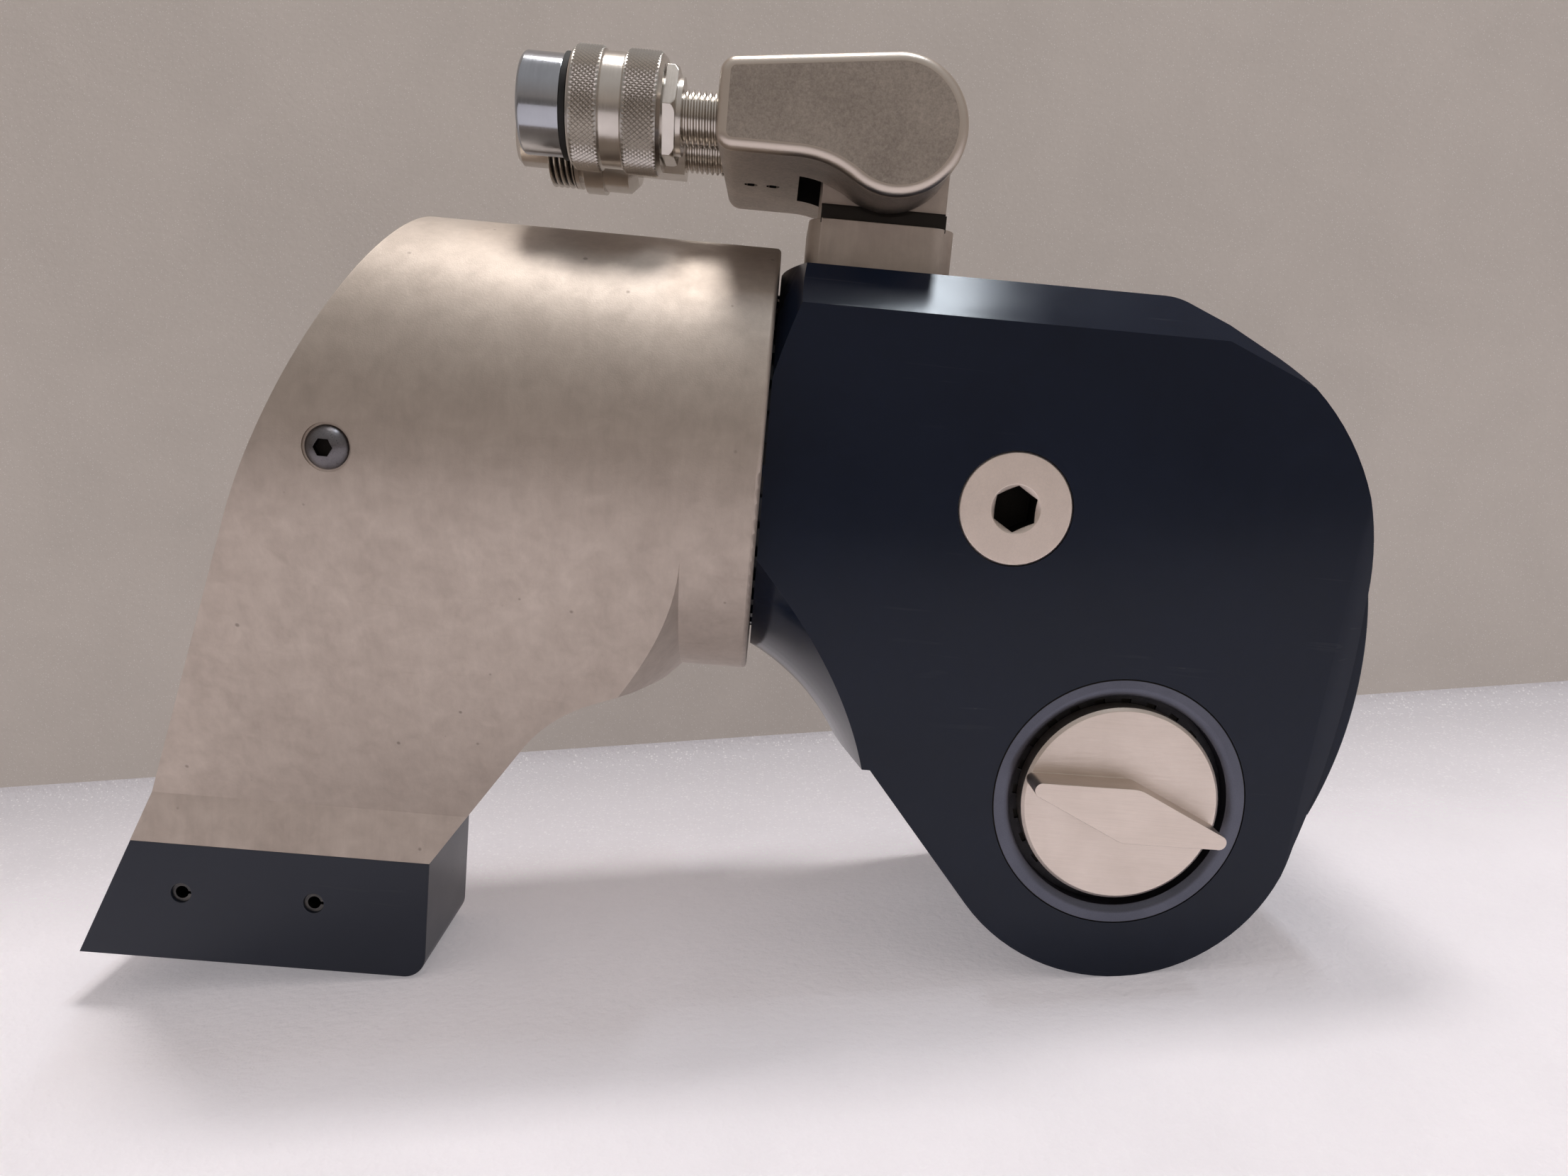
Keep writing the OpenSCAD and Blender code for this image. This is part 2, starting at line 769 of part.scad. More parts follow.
// Seal round the piston
module piston_seal() {
    groove = piston_x + piston_len / 2 - 3;
    color(rubber)
        along(0, axis_h)
            rotate_extrude()
                translate([bore_r - 3.8, groove + 0.3])
                    square([3.8 - run_gap, 5.4]);
}

// Rod with a flat eye for the rod pin
module piston_rod() {
    color(steel)
        difference() {
            union() {
                along(0, axis_h)
                    rotate_extrude()
                        polygon([[0, piston_x + 6], [rod_r - 3 - fit_gap, piston_x + 6],
                            [rod_r - 3 - fit_gap, piston_x + piston_len], [rod_r, piston_x + piston_len],
                            [rod_r, pin_x - eye_r], [rod_r - 1.5, pin_x], [0, pin_x]]);
                peg([pin_x, axis_h], eye_r, -eye_half, eye_half);
            }
            peg([pin_x, axis_h], rod_pin_d / 2 + fit_gap, -far, far);
        }
}

// Pin from the rod's eye into the crank plates
module rod_pin() {
    color(steel)
        peg([pin_x, axis_h], rod_pin_d / 2, -slot_half + side_gap, slot_half - side_gap);
}

// Crank plate between two positions across the tool, with a short slot for the rod pin
module crank_plate(y0, y1) {
    pin_hole = rod_pin_d / 2 + 0.45;
    lug = polar(lug_far_r, crank_tilt);
    slot_near = polar(axis_h - 0.5, crank_tilt);
    slot_far = polar(lug_far_r + 0.5, crank_tilt);
    color(dark_steel)
        difference() {
            union() {
                peg([0, 0], crank_r, y0, y1);
                peg(lug, lug_r, y0, y1);
                slab(y0, y1)
                    strip([0, 0], crank_r, lug, lug_r);
            }
            peg(slot_near, pin_hole, -far, far);
            peg(slot_far, pin_hole, -far, far);
            peg([0, 0], hub_r + run_gap, -far, far);
            peg(pawl_pivot(), pawl_pin_d / 2 + fit_gap, -far, far);
            peg(spring_spot(), spring_pin_d / 2 + fit_gap, -far, far);
        }
}

// Where the pawl turns, beside the line from the drive to the rod pin
function pawl_pivot() = polar(pawl_pivot_r, crank_tilt + 5);

// Crank plate on the knob's side
module crank_plate_front() {
    crank_plate(-crank_y - crank_t, -crank_y);
}

// Crank plate on the square's side
module crank_plate_rear() {
    crank_plate(crank_y, crank_y + crank_t);
}

// Top corner of the pawl's toe
function pawl_toe() = polar(tooth_tip_r + 6, pawl_face + 0.6);

// Top of the pawl's boss
function pawl_heel() = pawl_pivot() + pawl_boss_r * dir(60);

// Side view of the pawl before its toe is rounded
module pawl_outline() {
    root_r = tooth_tip_r - tooth_h;
    pitch = 360 / ratchet_teeth;
    p = pawl_pivot();
    translate(p)
        circle(pawl_boss_r);
    polygon([polar(root_r + 0.5, pawl_face), pawl_toe(), pawl_heel(), p + pawl_boss_r * dir(-110),
        polar(tooth_tip_r + 0.8, pawl_face + pitch + 1)]);
}

// Pawl that pushes the ratchet round, its toe rounded about its pin so that it lifts clear of the teeth
module drive_pawl() {
    p = pawl_pivot();
    toe_reach = norm(polar(tooth_tip_r, pawl_face) - p) - pawl_gap;
    color(steel)
        slab(-ratchet_half + 1, ratchet_half - 1)
            difference() {
                intersection() {
                    translate(p)
                        circle(toe_reach);
                    pawl_outline();
                }
                translate(p)
                    circle(pawl_pin_d / 2 + run_gap);
            }
}

// Pin that the pawl turns on
module pawl_pin() {
    color(steel)
        peg(pawl_pivot(), pawl_pin_d / 2, -slot_half + side_gap, slot_half - side_gap);
}

// Where the pawl's spring is held
function spring_spot() = polar(pawl_pivot_r + 8, crank_tilt - 13);

// Pin that holds the pawl's spring between the crank plates
module spring_pin() {
    color(steel)
        peg(spring_spot(), spring_pin_d / 2, -slot_half + side_gap, slot_half - side_gap);
}

// Bent leaf that presses the pawl into the teeth, with an eye round its pin
module pawl_spring() {
    leaf_t = 0.9;
    eye = spring_pin_d / 2 + leaf_t;
    press = pawl_toe() + 0.4 * (pawl_heel() - pawl_toe()) + [0, 0.3];
    top = spring_spot() - [0, eye - leaf_t / 2];
    mid = (top + press) / 2;
    bow = norm(top - press) / 2;
    color(dark_steel)
        slab(-8, 8)
            difference() {
                union() {
                    translate(spring_spot())
                        circle(eye);
                    intersection() {
                        difference() {
                            translate(mid)
                                circle(bow);
                            translate(mid)
                                circle(bow - leaf_t);
                        }
                        polygon([top, top + [far, 0], press + [far, 0], press]);
                    }
                }
                translate(spring_spot())
                    circle(spring_pin_d / 2 + fit_gap);
            }
}

// Toothed wheel with hollow hubs and a splined bore
module ratchet() {
    root_r = tooth_tip_r - tooth_h;
    pitch = 360 / ratchet_teeth;
    teeth = [for (i = [0:ratchet_teeth - 1])
        each [polar(root_r, pawl_face + i * pitch), polar(tooth_tip_r, pawl_face + (i + 1) * pitch)]];
    color(dark_steel)
        difference() {
            union() {
                slab(-ratchet_half, ratchet_half)
                    polygon(teeth);
                peg([0, 0], hub_r, -hub_end, hub_end);
            }
            slab(-half_w, half_w)
                spline(drive_r, drive_spline_h, drive_spline_teeth, 0.1);
        }
}

// Splined shaft with the output square
module square_drive() {
    shaft_r = drive_r - drive_spline_h;
    tip = collar_y + square_len;
    color(steel)
        difference() {
            union() {
                slab(-hub_end + 0.5, hub_end - 0.5)
                    spline(drive_r, drive_spline_h, drive_spline_teeth);
                peg([0, 0], shaft_r, hub_end - nick, half_w + 0.5);
                translate([0, half_w + 0.5, 0])
                    rotate([-90, 0, 0])
                        rotate_extrude()
                            polygon([[0, 0], [bush_d / 2 - 1.5, 0], [bush_d / 2, 1.5], [bush_d / 2, 2.5],
                                [bush_d / 2 - 1, 3.5], [0, 3.5]]);
                intersection() {
                    slab(collar_y - nick, tip)
                        square(square_w, center = true);
                    translate([0, collar_y - nick, 0])
                        rotate([-90, 0, 0])
                            rotate_extrude()
                                polygon([[0, 0], [square_w * 0.655, 0], [square_w * 0.655, square_len - 2],
                                    [square_w * 0.575, square_len + nick], [0, square_len + nick]]);
                }
            }
            peg([0, 0], stem_d / 2 + run_gap, -far, far);
            peg([0, 0], stem_d / 2 + 4, tip - 9, far);
            translate([0, collar_y + square_len / 2, 0])
                cylinder(h = far, r = 4.2);
        }
}

// Side view of the knob's wing: round in the middle, with straight flanks that run out to its ends
module wing_outline() {
    end_r = wing_end_w / 2;
    rotate(-wing_angle)
        for (s = [-1, 1])
            link([0, 0], wing_w / 2, [s * (knob_r - end_r - 0.2), 0], end_r);
}

// Winged knob that holds the drive in the ratchet
module retainer_knob() {
    face = half_w + 1.2;
    color(nickel)
        union() {
            translate([0, -face, 0])
                rotate([-90, 0, 0])
                    rotate_extrude()
                        polygon([[0, 0], [knob_r - 0.8, 0], [knob_r, 0.8], [knob_r, knob_t], [0, knob_t]]);
            slab(-face - wing_h, -face + nick)
                wing_outline();
            peg([0, 0], stem_d / 2, -face + knob_t - nick, collar_y + square_len - 3);
        }
}

// Round nut on the knob's stem, sunk in the end of the square
module retainer_nut() {
    seat = collar_y + square_len - 9;
    color(dark_steel)
        difference() {
            peg([0, 0], stem_d / 2 + 3.5, seat + 0.3, seat + 7);
            peg([0, 0], stem_d / 2 + fit_gap, -far, far);
            for (s = [-1, 1])
                peg([s * (stem_d / 2 + 2), 0], 1, seat + 4, far);
        }
}

// Block that turns on the housing, with a tongue for the head
module swivel_base() {
    tier_l = 2 * head_r - 0.8;
    tongue_r = head_r - 0.4;
    tier_top = pivot[1] - head_r + 0.4;
    color(nickel)
        difference() {
            union() {
                translate([-swivel_back, 0, base_z])
                    linear_extrude(base_h)
                        round_rect(base_l, base_w, base_corner);
                translate([-swivel_back - tier_l / 2, -base_w / 2 + 1, base_z + base_h - nick])
                    cube([tier_l, base_w - 2, tier_top - base_z - base_h + nick]);
                slab(-tongue_w / 2, tongue_w / 2) {
                    translate(pivot)
                        circle(tongue_r);
                    translate([pivot[0] - tongue_r, base_z + base_h - nick])
                        square([2 * tongue_r, pivot[1] - base_z - base_h + nick]);
                }
                translate([-swivel_back, 0, base_z - spigot_len])
                    cylinder(h = spigot_len + nick, r = spigot_r);
            }
            for (s = [-1, 1])
                peg(pivot, scoop_clear, min(s * tongue_w / 2, s * far), max(s * tongue_w / 2, s * far));
            peg(pivot, pivot_d / 2 + run_gap, -far, far);
            translate([-swivel_back, 0, 0])
                for (z = seal_spots())
                    translate([0, 0, z])
                        ring_groove(spigot_r - 2.8, 1.6);
            translate([-swivel_back, 0, base_z - spigot_len + 2.7])
                ring_groove(spigot_r - 1.6, 0.8);
        }
}

// Heights of the spigot's seals
function seal_spots() = [base_z - 4, base_z - 10.5];

// Square groove round a spigot, cut to a radius and a half width
module ring_groove(r, half) {
    translate([0, 0, -half])
        difference() {
            cylinder(h = 2 * half, r = spigot_r + nick);
            translate([0, 0, -nick])
                cylinder(h = 2 * half + 2 * nick, r = r);
        }
}

// Seals between the spigot's ports
module spigot_seals() {
    color(rubber)
        for (z = seal_spots())
            translate([-swivel_back, 0, z])
                o_ring(spigot_r, 1.38);
}

// Snap ring that keeps the spigot in the housing
module spigot_clip() {
    color(dark_steel)
        translate([-swivel_back, 0, base_z - spigot_len + 2.1])
            difference() {
                cylinder(h = 1.2, r = spigot_r + 1.2);
                translate([0, 0, -nick])
                    cylinder(h = 4, r = spigot_r - 1.5);
                translate([0, -2.5, -nick])
                    cube([far, 5, 4]);
            }
}

// Side view of the head: a round end that tapers to the coupler face, hollow below
module head_outline() {
    low = head_mid_z - head_h / 2;
    high = head_mid_z + head_h / 2;
    corner = 4;
    fillet_x = sqrt(pow(head_r + head_fillet, 2) - pow(pivot[1] - low + head_fillet, 2));
    fillet_c = [pivot[0] - fillet_x, low - head_fillet];
    touch = pivot + head_r * (fillet_c - pivot) / (head_r + head_fillet);
    translate(pivot)
        circle(head_r);
    difference() {
        polygon([[fillet_c[0], low], touch, pivot, [pivot[0], high], [fillet_c[0], high]]);
        translate(fillet_c)
            circle(head_fillet);
    }
    polygon([[head_face, low + corner], [head_face + corner, low], [fillet_c[0], low], pivot,
        pivot + head_r * dir(96), [head_face + corner, high], [head_face, high - corner]]);
    for (z = [low + corner, high - corner])
        translate([head_face + corner, z])
            circle(corner);
}

// Forked manifold that tilts on the base and carries the couplers
module swivel_head() {
    blind = -head_w / 2 + 8;
    color(nickel)
        difference() {
            slab(-head_w / 2, head_w / 2)
                head_outline();
            slab(-slot_in_head, slot_in_head) {
                translate(pivot)
                    circle(head_r + 6);
                translate(pivot - [0, far])
                    square(2 * far);
                translate(pivot - [far, far])
                    translate([far - head_r - 6, 0])
                        square([head_r + 6, far]);
            }
            peg(pivot, pivot_d / 2 + fit_gap, blind, far);
            peg(pivot, pivot_d / 2 + 3 + fit_gap, head_w / 2 - 6, far);
            for (y = [socket_y, nipple_y]) {
                bar(y, coupler_z, thread_r + fit_gap, head_face - nick, head_face + neck_in + 0.5);
                bar(y, coupler_z, 3, head_face, head_face + neck_in + 7.5);
            }
            for (x = gallery_spots())
                translate([x, 0, 0])
                    cylinder(h = head_mid_z - head_h / 2 + 6, r = 1.8 + fit_gap);
        }
}

// Where the drilled galleries of the head are plugged
function gallery_spots() = [head_face + 8, head_face + 14];

// Grub screws in the head's galleries
module gallery_plugs() {
    low = head_mid_z - head_h / 2;
    color(dark_steel)
        for (x = gallery_spots())
            translate([x, 0, low + 0.6])
                difference() {
                    cylinder(h = 4.8, r = 1.8);
                    translate([0, 0, -nick])
                        cylinder(h = nick + 2, r = 1, $fn = 6);
                }
}

// Pin that the head tilts on
module pivot_pin() {
    color(steel)
        peg(pivot, pivot_d / 2, -head_w / 2 + 8, head_w / 2 - 6);
}

// Screwed cap over the pivot pin, on the far cheek
module pivot_cap() {
    color(nickel)
        difference() {
            peg(pivot, pivot_d / 2 + 3, head_w / 2 - 6, head_w / 2 - 0.4);
            translate([pivot[0], head_w / 2 - 3.5, pivot[1]])
                rotate([-90, 0, 0])
                    cylinder(h = far, r = 6 / sqrt(3), $fn = 6);
        }
}

// Hex of a given key size about the tool's length
module hex_bar(y, key, x0, x1) {
    along(y, coupler_z)
        translate([0, 0, x0])
            rotate(30)
                cylinder(h = x1 - x0, r = key / sqrt(3), $fn = 6);
}

// Threaded body of the female coupler
module socket_body() {
    color(steel)
        difference() {
            union() {
                bar(socket_y, coupler_z, thread_r, hex_x - nick, head_face + neck_in);
                bar(socket_y, coupler_z, socket_key / 2 - 1.5, hex_x - nick, hex_x + 1.3);
                intersection() {
                    hex_bar(socket_y, socket_key, hex_x - hex_t, hex_x);
                    along(socket_y, coupler_z)
                        translate([0, 0, hex_x - hex_t])
                            cylinder(h = hex_t, r1 = socket_key / 2 + 3, r2 = socket_key / 2 + 0.9);
                }
                bar(socket_y, coupler_z, body_r, sleeve_x, hex_x - hex_t + nick);
            }
            bar(socket_y, coupler_z, 3, -far, far);
            bar(socket_y, coupler_z, poppet_r() + run_gap, sleeve_x - nick, sleeve_x + valve_len);
        }
}

// Radius of a check valve's poppet, and of the hole that it closes
function poppet_r() = 6;
function seat_r() = poppet_r() - 1.5;

// Knurled collar that screws the couplers together
module socket_collar() {
    r = collar_d / 2;
    knurl_1 = collar_end + 8.2;
    knurl_2 = collar_x - 10;
    color(steel)
        along(socket_y, coupler_z)
            rotate_extrude()
                polygon([[body_r + run_gap, collar_end], [r - 1, collar_end], [r, collar_end + 1],
                    [r, knurl_1 - 0.5], [band_d / 2, knurl_1], [band_d / 2, knurl_2], [r, knurl_2 + 0.5],
                    [r, collar_x - 1.2], [r - 1.2, collar_x], [body_r + run_gap, collar_x]]);
}

// Rubber ring between the collar and the sleeve
module socket_ring() {
    color(rubber)
        along(socket_y, coupler_z)
            rotate_extrude()
                translate([body_r + fit_gap, sleeve_x + 0.1])
                    square([3, ring_t - 0.5]);
}

// Polished sleeve at the socket's mouth
module socket_sleeve() {
    color(steel)
        along(socket_y, coupler_z)
            rotate_extrude()
                polygon([[seat_r(), sleeve_x], [sleeve_d / 2, sleeve_x], [sleeve_d / 2, sleeve_end + 0.8],
                    [sleeve_d / 2 - 0.8, sleeve_end], [sleeve_bore_d / 2, sleeve_end],
                    [sleeve_bore_d / 2, sleeve_x - 2], [seat_r(), sleeve_x - 2]]);
}

// Poppet of a check valve, pointing away from the head
module poppet(x) {
    rotate_extrude()
        polygon([[0, x - 2.2], [2.6, x - 2.2], [seat_r() - 0.5, x - 0.8], [seat_r() - 0.5, x],
            [poppet_r(), x], [poppet_r(), x + 5], [2.2, x + 5], [2.2, x + 8], [0, x + 8]]);
}

// Check valve in the socket
module socket_poppet() {
    color(steel)
        along(socket_y, coupler_z)
            poppet(sleeve_x + 0.3);
}

// Spring behind the socket's check valve
module socket_spring() {
    color(dark_steel)
        along(socket_y, coupler_z)
            translate([0, 0, sleeve_x + 5.5])
                valve_spring();
}

// Spring of a check valve
module valve_spring() {
    coil(4.4, 0.7, valve_len - 5.7, 5);
}

// Threaded body of the male coupler, turned from one bar
module nipple_body() {
    screw_r = nipple_thread_d / 2;
    root_r = screw_r - 1.8;
    flange_r = nipple_flange_d / 2;
    groove = nipple_screw_x + 1.6;
    color(steel)
        difference() {
            union() {
                bar(nipple_y, coupler_z, thread_r, hex_x - nick, head_face + neck_in);
                hex_bar(nipple_y, nipple_key, nipple_body_x - nick, hex_x);
                along(nipple_y, coupler_z)
                    rotate_extrude()
                        polygon([[0, nipple_tip], [nose_d / 2 - 1.2, nipple_tip],
                            [nose_d / 2, nipple_tip + 1.2], [nose_d / 2, nipple_nose_x],
                            [screw_r - 1, nipple_nose_x],
                            [screw_r, nipple_nose_x + 1], [screw_r, nipple_screw_x], [root_r, nipple_screw_x],
                            [root_r, groove], [flange_r, groove], [flange_r, nipple_flange_x],
                            [screw_r, nipple_flange_x], [screw_r, nipple_body_x - 2.5],
                            [screw_r - 2.5, nipple_body_x], [0, nipple_body_x]]);
            }
            bar(nipple_y, coupler_z, 3, -far, far);
            bar(nipple_y, coupler_z, seat_r(), nipple_tip - nick, nipple_tip + 5);
            bar(nipple_y, coupler_z, poppet_r() + run_gap, nipple_tip + 4, nipple_tip + 4 + valve_len);
        }
}

// Check valve in the nipple
module nipple_poppet() {
    color(steel)
        along(nipple_y, coupler_z)
            poppet(nipple_tip + 4.3);
}

// Spring behind the nipple's check valve
module nipple_spring() {
    color(dark_steel)
        along(nipple_y, coupler_z)
            translate([0, 0, nipple_tip + 9.5])
                valve_spring();
}

// Cross section of the arm's leg: flanks that leave the ring as tangents and taper to the foot
module leg_section() {
    inset = 0.02;
    foot = [foot_half, band_z - axis_h];
    lean = acos(arm_r / norm(foot));
    touch = (arm_r - inset) * dir(atan2(foot[1], foot[0]) + lean);
    polygon([touch, [-touch[0], touch[1]], [-foot[0], foot[1]], [-foot_half, -foot_down - axis_h],
        [foot_half, -foot_down - axis_h], foot]);
}

// Side view of the arm's leg below the ring, before its back is cut
module leg_outline() {
    behind = -foot_back - nick;
    toe = [-foot_front, -foot_down];
    knee = meet(leg_step, leg_slopes[0], toe, leg_slopes[1]);
    setback = leg_fillet * tan((leg_slopes[1] - leg_slopes[0]) / 2);
    upper = knee + setback * dir(leg_slopes[0]);
    lower = knee - setback * dir(leg_slopes[1]);
    difference() {
        polygon([[leg_x + nick, axis_h], [leg_x + nick, leg_step[1]], leg_step, upper, lower, toe,
            [behind, -foot_down], [behind, axis_h]]);
        translate(upper + leg_fillet * dir(leg_slopes[0] - 90))
            circle(leg_fillet);
    }
}

// Everything behind the cone that the leg's front is turned to
module leg_limit() {
    wide = 3 * arm_r;
    along(0, axis_h)
        rotate_extrude()
            polygon([[0, -2 * foot_back], [wide, -2 * foot_back], [wide, leg_x + arm_r - wide],
                [arm_r - nick, leg_x + nick], [0, leg_x + nick]]);
}

// Side view of everything in front of the arm's sloping back
module arm_reach() {
    high = axis_h + arm_r + nick;
    low = -foot_down - nick;
    polygon([[arm_x + nick, high], [back_x(high), high], [back_x(low), low], [arm_x + nick, low]]);
}

// Ring of the arm, with a rounded front edge
module arm_ring() {
    along(0, axis_h)
        rotate_extrude() {
            translate([0, -foot_back])
                square([arm_r, foot_back + arm_x - arm_edge]);
            translate([0, arm_x - arm_edge - nick])
                square([arm_r - arm_edge, arm_edge + nick]);
            translate([arm_r - arm_edge, arm_x - arm_edge])
                circle(arm_edge);
        }
}

// Reaction arm: a splined ring that runs down into a foot
module reaction_arm() {
    color(nickel)
        difference() {
            union() {
                intersection() {
                    union() {
                        arm_ring();
                        intersection() {
                            translate([-foot_back - nick, 0, axis_h])
                                rotate([90, 0, 90])
                                    linear_extrude(foot_back)
                                        leg_section();
                            slab(-arm_r - nick, arm_r + nick)
                                leg_outline();
                            leg_limit();
                        }
                    }
                    slab(-arm_r - nick, arm_r + nick)
                        arm_reach();
                }
                slab(-tenon_half, tenon_half)
                    tenon_outline(0);
            }
            along(0, axis_h)
                translate([0, 0, -foot_back])
                    linear_extrude(foot_back)
                        spline(spline_r, spline_h, spline_teeth, 0.25);
            for (p = pad_pin_spots())
                peg(p, pad_pin_d / 2 + fit_gap, -far, far);
            peg(screw_spot(), screw_d / 2 + fit_gap, -far, 0);
            peg(screw_spot(), screw_d * 0.875 + 0.5, -far, screw_seat);
        }
}

// Tenon of the arm that sits in the pad, or the pad's pocket when grown
module tenon_outline(grow) {
    depth = pad_h - 10 + grow;
    inset = 8 - grow;
    polygon([[-foot_front - inset, -foot_down + nick], [back_x(-foot_down) + inset, -foot_down + nick],
        [back_x(-foot_down - depth) + inset, -foot_down - depth], [-foot_front - inset, -foot_down - depth]]);
}

// Where the pad's pins go through
function pad_pin_spots() = [for (i = [1, 0])
    [-foot_back + pad_pin_in + i * pad_pin_gap, -foot_down - pad_pin_down]];

// Replaceable pad under the arm's foot
module reaction_pad() {
    low = -foot_down - pad_h;
    color(black)
        difference() {
            slab(-foot_half, foot_half) {
                polygon([[-foot_front, -foot_down], [back_x(-foot_down), -foot_down], [back_x(low), low],
                    [-foot_front - pad_round, low], [-foot_front, low + pad_round]]);
                translate([-foot_front - pad_round, low + pad_round])
                    circle(pad_round);
            }
            slab(-tenon_half - tenon_gap, tenon_half + tenon_gap)
                tenon_outline(tenon_gap);
            for (p = pad_pin_spots())
                peg(p, pad_pin_d / 2 + fit_gap, -far, far);
        }
}

// Slotted spring pins that hold the pad
module pad_pins() {
    color(dark_steel)
        for (p = pad_pin_spots())
            difference() {
                peg(p, pad_pin_d / 2, -foot_half + 0.8, foot_half - 0.8);
                peg(p, pad_pin_d / 2 - 1, -far, far);
                translate([p[0], -far, p[1] - 0.4])
                    cube([far, 2 * far, 0.8]);
            }
}

// Button-head screw that clamps the arm on its spline
module arm_screw() {
    head_r = screw_d * 0.875;
    head_h = screw_d * 0.55;
    dome_r = (pow(head_r, 2) + pow(head_h, 2)) / (2 * head_h);
    color(dark_steel)
        translate([screw_spot().x, screw_seat, screw_spot().y])
            rotate([90, 0, 0])
                difference() {
                    union() {
                        intersection() {
                            translate([0, 0, head_h - dome_r])
                                sphere(dome_r);
                            cylinder(h = far, r = head_r + nick);
                        }
                        translate([0, 0, spline_r + screw_seat + 0.5])
                            cylinder(h = -screw_seat - spline_r, r = screw_d / 2);
                    }
                    translate([0, 0, 1])
                        cylinder(h = far, r = screw_d / 3 + 0.25, $fn = 6);
                }
}

housing();
rear_cover();
cover_screws();
front_bush();
rear_bush();
access_plug();
end_cap();
cap_seal();
rod_gland();
rod_seal();
piston();
piston_seal();
piston_rod();
rod_pin();
crank_plate_front();
crank_plate_rear();
drive_pawl();
pawl_pin();
spring_pin();
pawl_spring();
ratchet();
square_drive();
retainer_knob();
retainer_nut();
swivel_base();
spigot_seals();
spigot_clip();
swivel_head();
pivot_pin();
pivot_cap();
gallery_plugs();
socket_body();
socket_collar();
socket_ring();
socket_sleeve();
socket_poppet();
socket_spring();
nipple_body();
nipple_poppet();
nipple_spring();
reaction_arm();
reaction_pad();
pad_pins();
arm_screw();
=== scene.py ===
"""Looks of a square-drive hydraulic torque wrench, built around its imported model."""

import json
from math import atan2, cos, pi, radians, sin

import bmesh
import bpy
from mathutils import Matrix, Vector


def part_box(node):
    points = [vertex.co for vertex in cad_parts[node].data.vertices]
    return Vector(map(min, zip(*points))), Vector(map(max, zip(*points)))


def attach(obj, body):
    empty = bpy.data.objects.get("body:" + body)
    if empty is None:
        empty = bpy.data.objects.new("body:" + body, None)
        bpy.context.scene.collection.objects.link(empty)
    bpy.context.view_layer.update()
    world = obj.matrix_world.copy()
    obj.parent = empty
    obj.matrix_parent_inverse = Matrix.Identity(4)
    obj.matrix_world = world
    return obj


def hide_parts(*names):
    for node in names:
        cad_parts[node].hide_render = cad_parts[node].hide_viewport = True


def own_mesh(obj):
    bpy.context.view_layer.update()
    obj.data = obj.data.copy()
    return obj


MM = 0.001
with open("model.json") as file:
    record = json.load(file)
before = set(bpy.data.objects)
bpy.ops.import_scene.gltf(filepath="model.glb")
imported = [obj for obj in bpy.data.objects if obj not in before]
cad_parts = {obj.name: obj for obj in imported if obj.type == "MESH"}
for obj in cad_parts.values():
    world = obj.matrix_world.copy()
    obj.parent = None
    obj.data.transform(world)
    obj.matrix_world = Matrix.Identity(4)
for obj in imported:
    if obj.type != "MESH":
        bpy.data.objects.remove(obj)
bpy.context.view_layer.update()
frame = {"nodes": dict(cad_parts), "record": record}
NODES = frame["nodes"]
RECORD = frame["record"]
BODY_OF = {n: body for body, members in RECORD["behaviour"]["bodies"].items() for n in members}
SLOT_OF = {part["node"]: part["material_slot"] for part in RECORD["subparts"]}
MOUNT = {mount["name"]: mount for mount in RECORD["mounts"]}

# Places that come from the frame
HEAD_LOW, HEAD_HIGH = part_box("swivel_head")
COLLAR_LOW, COLLAR_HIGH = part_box("socket_collar")
SOCKET_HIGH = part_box("socket_body")[1]
NIPPLE_LOW, NIPPLE_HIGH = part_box("nipple_body")
HOUSING_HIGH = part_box("housing")[1]
PAD_LOW, PAD_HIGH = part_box("reaction_pad")
SOCKET_AXIS = Vector(MOUNT["socket_mouth"]["pos_m"])
NIPPLE_AXIS = Vector(MOUNT["nipple_nose"]["pos_m"])

# Places that tell a piece's outer edges from its hidden ones
SIDE_SKIN = 42.9 * MM
SHOULDER_X = -97.5 * MM
CHAMFER_Y = 34.0 * MM
CHAMFER_Z = 100.0 * MM
KNOB_FRONT = -40.0 * MM
WING_FOOT = -44.0 * MM
WING_REACH = 22.0 * MM
DRIVE_HUB = 40.0 * MM
DRIVE_SQUARE = 46.0 * MM
FORK_HALF = 18.0 * MM


# Shader node groups

def new_group(name, inputs, outputs):
    """Empty shader group with float or vector inputs (name, kind, default) and float outputs."""
    group = bpy.data.node_groups.new(name, "ShaderNodeTree")
    for label, kind, default in inputs:
        socket = group.interface.new_socket(label, in_out="INPUT", socket_type=kind)
        if default is not None:
            socket.default_value = default
    for label in outputs:
        group.interface.new_socket(label, in_out="OUTPUT", socket_type="NodeSocketFloat")
    return group, group.nodes.new("NodeGroupInput"), group.nodes.new("NodeGroupOutput")


def math_node(tree, operation, first, second=None, third=None, clamp=False):
    """Math node whose inputs are sockets or plain numbers."""
    node = tree.nodes.new("ShaderNodeMath")
    node.operation = operation
    node.use_clamp = clamp
    for place, value in enumerate((first, second, third)):
        if value is None:
            continue
        if isinstance(value, (int, float)):
            node.inputs[place].default_value = value
        else:
            tree.links.new(value, node.inputs[place])
    return node.outputs[0]


def noise(tree, vector, scale, detail=3.0, roughness=0.55, distortion=0.0):
    """Noise value on a vector. The scale is a number or a socket."""
    node = tree.nodes.new("ShaderNodeTexNoise")
    tree.links.new(vector, node.inputs["Vector"])
    if isinstance(scale, (int, float)):
        node.inputs["Scale"].default_value = scale
    else:
        tree.links.new(scale, node.inputs["Scale"])
    node.inputs["Detail"].default_value = detail
    node.inputs["Roughness"].default_value = roughness
    node.inputs["Distortion"].default_value = distortion
    return node.outputs["Fac"]


